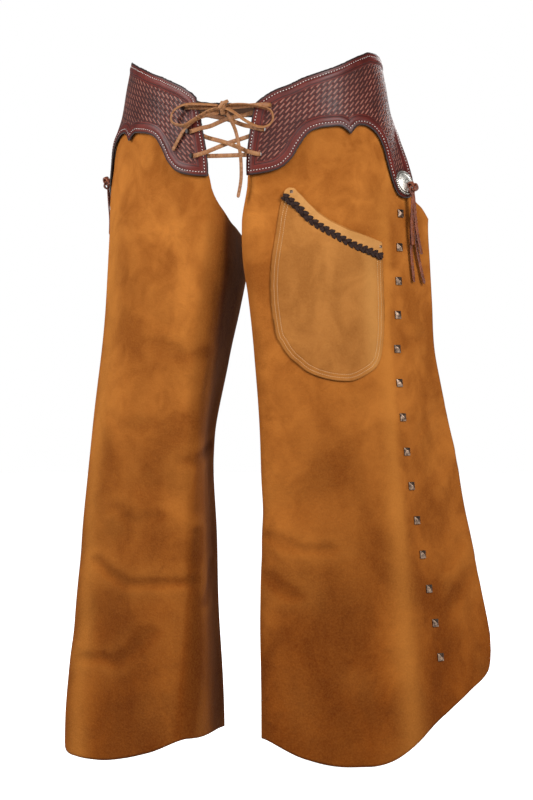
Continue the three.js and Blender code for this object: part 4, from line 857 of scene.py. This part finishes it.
# Braid. Three flat strands of near-black kangaroo-fine lace, plaited over the lower edge of the pocket's
# mouth strip and held at its ends by the two small studs.
braid_across = np.linspace(braid_rows[0][0], braid_rows[-1][0], 300)
braid_at = pocket_inside + (pocket_outside - pocket_inside) * braid_across
braid_z = -leg_length * smooth(braid_rows, braid_across)
braid_lift = leg_wall / 2 + pocket_gap + pocket_wall + 1.9
middle, middle_normals = suede_point("left", braid_at, braid_z, braid_lift)
braid_dark, tree, shader = new_finish("black_braid_lace")
place = add_node(tree, "ShaderNodeTexCoord").outputs["Object"]
speck = add_node(tree, "ShaderNodeTexNoise", {"Vector": place, "Scale": 260, "Detail": 3})
tone = add_node(tree, "ShaderNodeMix", {0: speck.outputs["Fac"], 6: hex_colour("#100704"),
                                        7: hex_colour("#3A2118")}, data_type="RGBA")
tree.links.new(tone.outputs[2], shader.inputs["Base Color"])
shader.inputs["Roughness"].default_value = 0.65
shader.inputs["Specular IOR Level"].default_value = 0.22
run = np.concatenate([[0], np.cumsum(np.linalg.norm(np.diff(middle, axis=0), axis=1))])
bm = bmesh.new()
for strand in range(3):
    at = np.linspace(0, run[-1], 260)
    centre = np.stack([np.interp(at, run, middle[:, k]) for k in range(3)], axis=1)
    up = np.stack([np.interp(at, run, middle_normals[:, k]) for k in range(3)], axis=1)
    ahead = np.gradient(centre, axis=0)
    ahead /= np.linalg.norm(ahead, axis=1, keepdims=True)
    aside = np.cross(up, ahead)
    phase = at / 27 * 2 * np.pi + strand * 2 * np.pi / 3
    line = centre + aside * (3.2 * np.sin(phase))[:, None] + up * (1.3 * np.sin(2 * phase))[:, None]
    add_ribbon(bm, line / 1000, up, 0.0052, 0.0018)
braid = finish_piece(bm, "mouth_braid", braid_dark)
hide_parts("pocket_braid")

# Studs. Square pyramid spots pressed from brass sheet, plated in antique nickel that has worn brown on the
# flats. Their prongs clench behind the suede. The solids keep their shape and get a soft pressed edge.
stud_finish, tree, shader = new_finish("antique_nickel_studs")
place = add_node(tree, "ShaderNodeTexCoord").outputs["Object"]
wear = add_node(tree, "ShaderNodeTexNoise", {"Vector": place, "Scale": 260, "Detail": 3, "Roughness": 0.6})
tone = add_node(tree, "ShaderNodeMapRange", {"Value": wear.outputs["Fac"], 1: 0.35, 2: 0.65})
colour = add_node(tree, "ShaderNodeMix", {0: tone.outputs[0], 6: hex_colour("#352720"),
                                          7: hex_colour("#86705F")}, data_type="RGBA")
tree.links.new(colour.outputs[2], shader.inputs["Base Color"])
shader.inputs["Metallic"].default_value = 0.9
shader.inputs["Roughness"].default_value = 0.36
stud_names = [f"wing_stud_{side}_{i}" for side in side_sign for i in range(1, 15)]
for name in stud_names + ["pocket_stud_1", "pocket_stud_2"]:
    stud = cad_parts[name]
    weld = stud.modifiers.new("merged", "WELD")
    weld.merge_threshold = 0.00005
    pressed = stud.modifiers.new("pressed_edges", "BEVEL")
    pressed.width = 0.0006
    pressed.segments = 2
    pressed.limit_method = "ANGLE"
    pressed.angle_limit = math.radians(20)
    stud.material_slots[0].material = stud_finish

# Conchos. Cast silver-plated discs 35 mm across, domed, with a roped rim and an engraved ring of petals.
# The engraving is blackened, and the thong is tied through the disc to the tongue of the yoke.
silver, tree, shader = new_finish("antiqued_silver")
place = add_node(tree, "ShaderNodeTexCoord").outputs["Object"]
cut = add_node(tree, "ShaderNodeAttribute", attribute_name="cut").outputs["Fac"]
stain = add_node(tree, "ShaderNodeTexNoise", {"Vector": place, "Scale": 190, "Detail": 4, "Roughness": 0.65})
dull = add_node(tree, "ShaderNodeMath", {0: stain.outputs["Fac"], 1: 0.5, 2: cut}, operation="MULTIPLY_ADD")
black = add_node(tree, "ShaderNodeMapRange", {"Value": dull.outputs[0], 1: 0.25, 2: 0.95})
colour = add_node(tree, "ShaderNodeMix", {0: black.outputs[0], 6: hex_colour("#FFFAF0"),
                                          7: hex_colour("#4E463E")}, data_type="RGBA")
tree.links.new(colour.outputs[2], shader.inputs["Base Color"])
shader.inputs["Metallic"].default_value = 0.85
shader.inputs["Roughness"].default_value = 0.34
concho_rise, concho_place, concho_lift = 6.0, 1.9, 1.0
concho_drops = {"left": 103, "right": 80}


def place_on(side, at, z, lift):
    """A turn that sets a piece made up Z on the leather, its top edge upwards."""
    spot, normal = leather_surface(side, [at], [z])[0], Vector(outward(side, [at], [z])[0])
    rise = (Vector((0, 0, 1)) - normal * normal.z).normalized()
    turn = Matrix((rise.cross(normal), rise, normal)).transposed().to_4x4()
    turn.translation = (Vector(spot) + normal * lift) / 1000
    return turn


for side in side_sign:
    bm = bmesh.new()
    cut_layer = bm.verts.layers.float.new("cut")
    profile = [(17.3, 0.2), (17.5, 0.8), (17.2, 1.5), (16.4, 1.9), (15.4, 1.9), (14.8, 1.55), (14.3, 1.6)]
    profile += [(r, 1.7 + 4.3 * math.cos(r / 14.3 * math.pi / 2) ** 0.9) for r in np.linspace(13.8, 0, 26)]
    for a, b in zip(profile, profile[1:]):
        if not bm.verts:
            previous = bm.verts.new((a[0], 0, a[1]))
        following = bm.verts.new((b[0], 0, b[1]))
        bm.edges.new((previous, following))
        previous = following
    bmesh.ops.spin(bm, geom=bm.verts[:] + bm.edges[:], cent=(0, 0, 0), axis=(0, 0, 1), angle=2 * math.pi,
                   steps=120, use_merge=True)
    bmesh.ops.remove_doubles(bm, verts=bm.verts, dist=0.01)
    for vert in bm.verts:
        radius, around = math.hypot(vert.co.x, vert.co.y), math.atan2(vert.co.y, vert.co.x)
        petal = abs(math.sin(4 * around)) * 10.6 + 1.6
        line = math.exp(-((radius - petal) / 0.55) ** 2) if radius > 3.2 else 0
        hub = math.exp(-((radius - 3.4) / 0.5) ** 2)
        rays = 0.6 * max(0, math.cos(16 * around)) ** 6 if 5 < radius < petal - 1.2 else 0
        rope = 0.5 + 0.5 * math.sin(36 * around + radius * 1.4) if radius > 14.9 else 0
        ditch = math.exp(-((radius - 14.5) / 0.5) ** 2)
        deep = max(line, hub, rays, ditch) if radius < 14.9 else rope
        vert.co.z -= 0.38 * deep
        vert[cut_layer] = 0.9 * deep
    for vert in bm.verts:
        vert.co = vert.co / 1000
    bmesh.ops.transform(bm, matrix=place_on(side, concho_place, -concho_drops[side], yoke_lift + yoke_wall / 2 + concho_lift), verts=bm.verts)
    concho = finish_piece(bm, f"engraved_concho_{side}", silver)
    concho.modifiers.new("back", "SOLIDIFY").thickness = 0.0007
    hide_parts(f"hip_concho_{side}")

# Thongs. Reddish latigo strips knotted over each concho, their four ends left hanging with slant cuts.
thong_width, thong_thick, knot_size = 5.0, 1.8, 11.0
thong_ends = {"left": [(0.58, 244, 6), (1.18, 242, 5), (0.9, 203, 12), (1.45, 190, 11)],
              "right": [(1.5, 192, 9), (1.1, 182, 6), (1.3, 140, 12), (1.9, 165, 13)]}
thong_start, thong_dip = 1.76, 9
thong_lift = yoke_lift + yoke_wall / 2 + concho_rise + knot_size / 2 + 0.6
thong_finish, tree, shader = new_finish("reddish_latigo_thongs")
place = add_node(tree, "ShaderNodeTexCoord").outputs["Object"]
pull = add_node(tree, "ShaderNodeTexNoise", {"Vector": place, "Scale": 110, "Detail": 4, "Roughness": 0.6})
tone = add_node(tree, "ShaderNodeMapRange", {"Value": pull.outputs["Fac"], 1: 0.3, 2: 0.7})
colour = add_node(tree, "ShaderNodeMix", {0: tone.outputs[0], 6: hex_colour("#562613"),
                                          7: hex_colour("#8E4828")}, data_type="RGBA")
tree.links.new(colour.outputs[2], shader.inputs["Base Color"])
shader.inputs["Roughness"].default_value = 0.48


def add_knot(bm, centre, size, width, thick, turn=0.0):
    """A thumb knot: one strip that runs twice through itself, pulled tight."""
    count = 72
    spin = Matrix.Rotation(turn, 3, "Y")
    line, facings = [], []
    for k in range(count + 1):
        a = 2 * math.pi * k / count
        point = Vector((math.sin(a) + 2 * math.sin(2 * a), -1.15 * math.sin(3 * a), math.cos(a) - 2 * math.cos(2 * a)))
        point = spin @ point
        point = Vector((point.x * size[0], point.y * size[1], point.z * size[2])) / 6.6
        line.append(Vector(centre) + point)
        facings.append(point.normalized())
    add_ribbon(bm, line, facings, width, thick)


for side in side_sign:
    z = -concho_drops[side] - thong_dip
    normal = outward(side, [thong_start], [z])[0]
    start = leather_surface(side, [thong_start], [z])[0] + normal * thong_lift
    bm = bmesh.new()
    add_knot(bm, start, (15, 12, 19), thong_width * 1.5, thong_thick * 1.6, 0.4)
    for end_at, end_drop, end_lift in thong_ends[side]:
        line, facings = [start], [normal]
        for share in (0.2, 0.45, 0.7, 1):
            at, height = thong_start + (end_at - thong_start) * share, z + (-end_drop - z) * share
            lift = thong_lift + (leg_wall / 2 + end_lift - thong_lift) * min(1, share / 0.62)
            spot, facing = suede_point(side, np.array([at]), np.array([height]), lift)
            line.append(spot[0])
            facings.append(facing[0])
        (line, facings), length = evenly(catmull(line, 10), 46, [catmull(facings, 10)])
        add_ribbon(bm, line, facings, thong_width, thong_thick, 0.35)
    bmesh.ops.scale(bm, verts=bm.verts, vec=(0.001, 0.001, 0.001))
    thongs = finish_piece(bm, f"tied_thongs_{side}", thong_finish, 1)
    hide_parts(f"hip_thongs_{side}")

# Front lace. One 6 mm latigo lace through six holes: straight across behind at the foot, crossed twice,
# and tied in the bow above.
lace_rub, lace_step, rest_back, lace_edge, lace_cross = 1.2, 2.6, 16, 26, (17, 50)
upper_behind, upper_front, lower_behind, lower_front = 6, 29, 38, 62
lace_mm = 2.0
bow_knot = Vector((-3, -half_depth - 12.5, -2))
holes = {side: lace_holes(side) for side in side_sign}
lace_rows = []


def lay_lace(point, facing, free=True):
    """Adds a point of the lace. Its flat side turns over where the route asks for it."""
    facing = Vector(facing)
    if free and lace_rows and facing.dot(lace_rows[-1][1]) < 0:
        facing = -facing
    lace_rows.append((Vector(point), facing))


def rest_lace(side, across, drop, layer):
    at = np.linspace(5, 6, 400)
    x = np.abs(leather_surface(side, at, np.full(400, -float(drop)))[:, 0])
    spot = np.array([np.interp(-across, -x, at)])
    normal = outward(side, spot, np.array([-float(drop)]))[0]
    lift = yoke_lift + layer * (yoke_wall / 2 + lace_mm / 2 + lace_rub)
    lay_lace(leather_surface(side, spot, np.array([-float(drop)]))[0] + normal * lift, normal)


def turn_lace(side, index, from_front):
    centre, normal = (Vector(v) for v in holes[side][index])
    radius = yoke_wall / 2 + lace_mm / 2 + lace_rub
    away = Vector((side_sign[side], 0, 0))
    away = (away - normal * away.dot(normal)).normalized()
    turns = []
    for degrees in (90, 45, 0, -45, -90):
        facing = away * math.cos(math.radians(degrees)) + normal * math.sin(math.radians(degrees))
        turns.append((centre - away * radius + facing * radius, facing))
    turns = turns if from_front else turns[::-1]
    sense = -1 if turns[0][1].dot(lace_rows[-1][1]) < 0 else 1
    for point, facing in turns:
        lay_lace(point, facing * sense, free=False)


def cross_lace(drop, shift):
    lay_lace((0, -(half_depth + yoke_lift) + shift, -drop), (0, -1, 0))


def run_lace(side, index, drop, layer, cross, leaving):
    near = hole_across[index] - rest_back
    slant = cross + (drop - cross) * lace_edge / near
    stops = [(near, drop), (lace_edge, slant)]
    for across, height in stops if leaving else stops[::-1]:
        rest_lace(side, across, height, layer)


upper, lower = lace_cross
lay_lace(bow_knot, (0, -1, 0))
rest_lace("right", hole_across[0] - rest_back, 0, 1)
turn_lace("right", 0, True)
run_lace("right", 0, upper_behind, -1, upper, True)
cross_lace(upper, lace_step)
run_lace("left", 1, upper_front, 1, upper, False)
turn_lace("left", 1, True)
run_lace("left", 1, lower_behind, -1, lower, True)
cross_lace(lower, lace_step)
run_lace("right", 2, lower_front, 1, lower, False)
turn_lace("right", 2, True)
cross_lace(hole_drops[2], yoke_wall)
turn_lace("left", 2, False)
run_lace("left", 2, lower_front, 1, lower, True)
cross_lace(lower, -lace_step)
run_lace("right", 1, lower_behind, -1, lower, False)
turn_lace("right", 1, False)
run_lace("right", 1, upper_front, 1, upper, True)
cross_lace(upper, -lace_step)
run_lace("left", 0, upper_behind, -1, upper, False)
turn_lace("left", 0, False)
rest_lace("left", hole_across[0] - rest_back, 0, 1)
lay_lace(bow_knot, (0, -1, 0))

lace_line = catmull([p for p, f in lace_rows], 8)
lace_facings = catmull([f for p, f in lace_rows], 8)
(lace_line, lace_facings), length = evenly(lace_line, 420, [lace_facings])
bm = bmesh.new()
add_ribbon(bm, lace_line, lace_facings, 6.0, lace_mm)
wrap = [bow_knot + Vector((0.25 * k / 24, -6.2 * math.cos(a), 8.6 * math.sin(a)))
        for k, a in enumerate(np.linspace(-0.4, 2 * math.pi - 0.3, 25))]
add_ribbon(bm, wrap, [point - bow_knot for point in wrap], 7.2, 2.2)
add_ribbon(bm, [bow_knot + Vector(v) for v in ((-8, -3, -3), (-3, -7.5, 1), (3, -8, 6.5), (8, -4, 9))],
           [(0, -1, 0.3)] * 4, 5.0, 2.0)
bmesh.ops.scale(bm, verts=bm.verts, vec=(0.001, 0.001, 0.001))
lace = finish_piece(bm, "laced_front", lace_finish)
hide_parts("front_lace")

# Back strap and buckle. A plain mahogany harness strap sewn over the ends of both yokes, closed by a
# nickel-silver buckle that stays fastened.
strap_wall, strap_width, strap_level, strap_bow, strap_gap = 3.0, 20.0, 0.3, 2.5, 0.55
strap_lift = yoke_lift + yoke_wall / 2 + strap_gap + strap_wall / 2
strap_places = [0, 0.1, 0.18, 0.26, 0.34, 0.42]
strap_middle = yoke_rise * strap_level


def strap_row(z):
    spots, normals = [], []
    for side in ("right", "left"):
        at = np.array(strap_places if side == "left" else strap_places[::-1])
        height = np.full(len(at), z)
        normal = outward(side, np.maximum(at, 0.02), height)
        spots += list(leather_surface(side, at, height) + normal * strap_lift)
        normals += list(normal)
        if side == "right":
            back = leather_surface("right", [0], [z])[0][1]
            spots.append(np.array([0, back + strap_bow + strap_lift, z]))
            normals.append(np.array([0, 1, 0]))
    return catmull(spots, 12), catmull(normals, 12)


strap_lines = {height: strap_row(strap_middle + height * strap_width) for height in (-0.5, 0, 0.5)}
strap_table = np.array([[list(p) for p in strap_lines[h][0]] for h in (-0.5, 0, 0.5)])
strap_normals = np.array([[list(p) for p in strap_lines[h][1]] for h in (-0.5, 0, 0.5)])


def strap_spot(s, t):
    column = s * (strap_table.shape[1] - 1)
    found = []
    for table in (strap_table, strap_normals):
        rows = np.stack([[np.interp(column, np.arange(table.shape[1]), table[k, :, c]) for c in range(3)]
                         for k in range(3)])
        weights = np.stack([np.clip(1 - np.abs(t * 2 - k), 0, 1) for k in range(3)])
        found.append(np.einsum("kn,kcn->nc", weights, rows))
    return found[0], found[1] / np.linalg.norm(found[1], axis=1, keepdims=True)


def lay_strap(s, t):
    points, normals = strap_spot(s, t)
    edge = np.minimum(np.minimum(t, 1 - t) * strap_width, np.minimum(s, 1 - s) * 200)
    curl = 0.8 * (1 - np.sqrt(np.clip(1 - (1 - np.clip(edge / 1.4, 0, 1)) ** 2, 0, 1)))
    return points - normals * curl[:, None], np.stack([s * 200, t * strap_width], axis=1), normals, {"edge": edge}


strap_finish, tree, shader = new_finish("harness_strap_leather")
place = add_node(tree, "ShaderNodeTexCoord").outputs["Object"]
edge = add_node(tree, "ShaderNodeAttribute", attribute_name="edge").outputs["Fac"]
cloud = add_node(tree, "ShaderNodeTexNoise", {"Vector": place, "Scale": 60, "Detail": 5, "Roughness": 0.6})
tone = add_node(tree, "ShaderNodeMapRange", {"Value": cloud.outputs["Fac"], 1: 0.3, 2: 0.7})
hide = add_node(tree, "ShaderNodeMix", {0: tone.outputs[0], 6: hex_colour("#3A1512"), 7: hex_colour("#5E2820")},
                data_type="RGBA")
rim = add_node(tree, "ShaderNodeMapRange", {"Value": edge, 1: 0.6, 2: 2.2, 3: 0.9, 4: 0.0})
dyed = add_node(tree, "ShaderNodeMix", {0: rim.outputs[0], 6: hide.outputs[2], 7: hex_colour("#1B0E0C")},
                data_type="RGBA")
tree.links.new(dyed.outputs[2], shader.inputs["Base Color"])
pores = add_node(tree, "ShaderNodeTexNoise", {"Vector": place, "Scale": 700, "Detail": 2})
bump = add_node(tree, "ShaderNodeBump", {"Height": pores.outputs["Fac"], "Strength": 0.3, "Distance": 0.0003})
tree.links.new(bump.outputs[0], shader.inputs["Normal"])
shader.inputs["Roughness"].default_value = 0.42
strap = sheet_grid("closing_strap", 160, 20, lay_strap, [strap_finish, dyed_edge])
add_wall(strap, strap_wall, 0, rim_slot=1)
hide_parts("back_strap")
strap_seams = []
for t in (3.2 / strap_width, 1 - 3.2 / strap_width):
    for low, high in ((0.03, 0.36), (0.64, 0.97)):
        share = np.linspace(low, high, 200)
        points, normals = strap_spot(share, share * 0 + t)
        strap_seams.append((points + normals * (strap_wall / 2), normals))
add_stitches("strap_stitches", strap_seams, 3.4, 2.7, 1.0, thread)
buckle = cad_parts["back_buckle"]
weld = buckle.modifiers.new("merged", "WELD")
weld.merge_threshold = 0.00005
cast = buckle.modifiers.new("cast_edges", "BEVEL")
cast.width = 0.0014
cast.segments = 3
cast.limit_method = "ANGLE"
cast.angle_limit = math.radians(30)
buckle.material_slots[0].material = silver

# Floor and light. A pale seamless floor under the hems, a softbox at each side, weaker ones in front and
# behind, and a white surround.
bm = bmesh.new()
bmesh.ops.create_circle(bm, cap_ends=True, segments=96, radius=14)
bmesh.ops.translate(bm, verts=bm.verts, vec=(0, 0, -0.935))
floor_mesh = bpy.data.meshes.new("floor")
bm.to_mesh(floor_mesh)
bm.free()
floor_finish, tree, shader = new_finish("pale_floor")
shader.inputs["Base Color"].default_value = hex_colour("#F6F5F3")
shader.inputs["Roughness"].default_value = 0.9
shader.inputs["Emission Color"].default_value = (1, 1, 1, 1)
shader.inputs["Emission Strength"].default_value = 1.0
floor_mesh.materials.append(floor_finish)
floor = bpy.data.objects.new("floor", floor_mesh)
bpy.context.scene.collection.objects.link(floor)
floor.visible_diffuse = False

world = bpy.data.worlds.new("studio")
world.use_nodes = True
surround = world.node_tree.nodes["Background"]
surround.inputs["Color"].default_value = (1, 1, 1, 1)
seen = add_node(world.node_tree, "ShaderNodeLightPath").outputs["Is Camera Ray"]
strength = add_node(world.node_tree, "ShaderNodeMapRange", {"Value": seen, 3: 0.22, 4: 1.0})
world.node_tree.links.new(strength.outputs[0], surround.inputs["Strength"])
bpy.context.scene.world = world
bpy.context.scene.view_settings.view_transform = "Standard"


def add_softbox(name, spot, aim, size, power):
    data = bpy.data.lights.new(name, "AREA")
    data.shape = "RECTANGLE"
    data.size, data.size_y = size
    data.energy = power
    light = bpy.data.objects.new(name, data)
    light.location = spot
    light.rotation_euler = (Vector(aim) - Vector(spot)).to_track_quat("-Z", "Y").to_euler()
    bpy.context.scene.collection.objects.link(light)


add_softbox("right_box", (2.3, -1.7, 0.9), (0.1, 0, -0.25), (0.9, 1.6), 62)
add_softbox("left_box", (-2.0, -1.5, 1.0), (-0.1, 0, -0.25), (0.9, 1.6), 52)
add_softbox("back_box", (0.3, 3.0, 1.2), (0, 0, -0.3), (1.6, 1.2), 34)
add_softbox("front_box", (0.5, -3.2, 1.5), (0, 0, -0.3), (1.6, 1.0), 26)
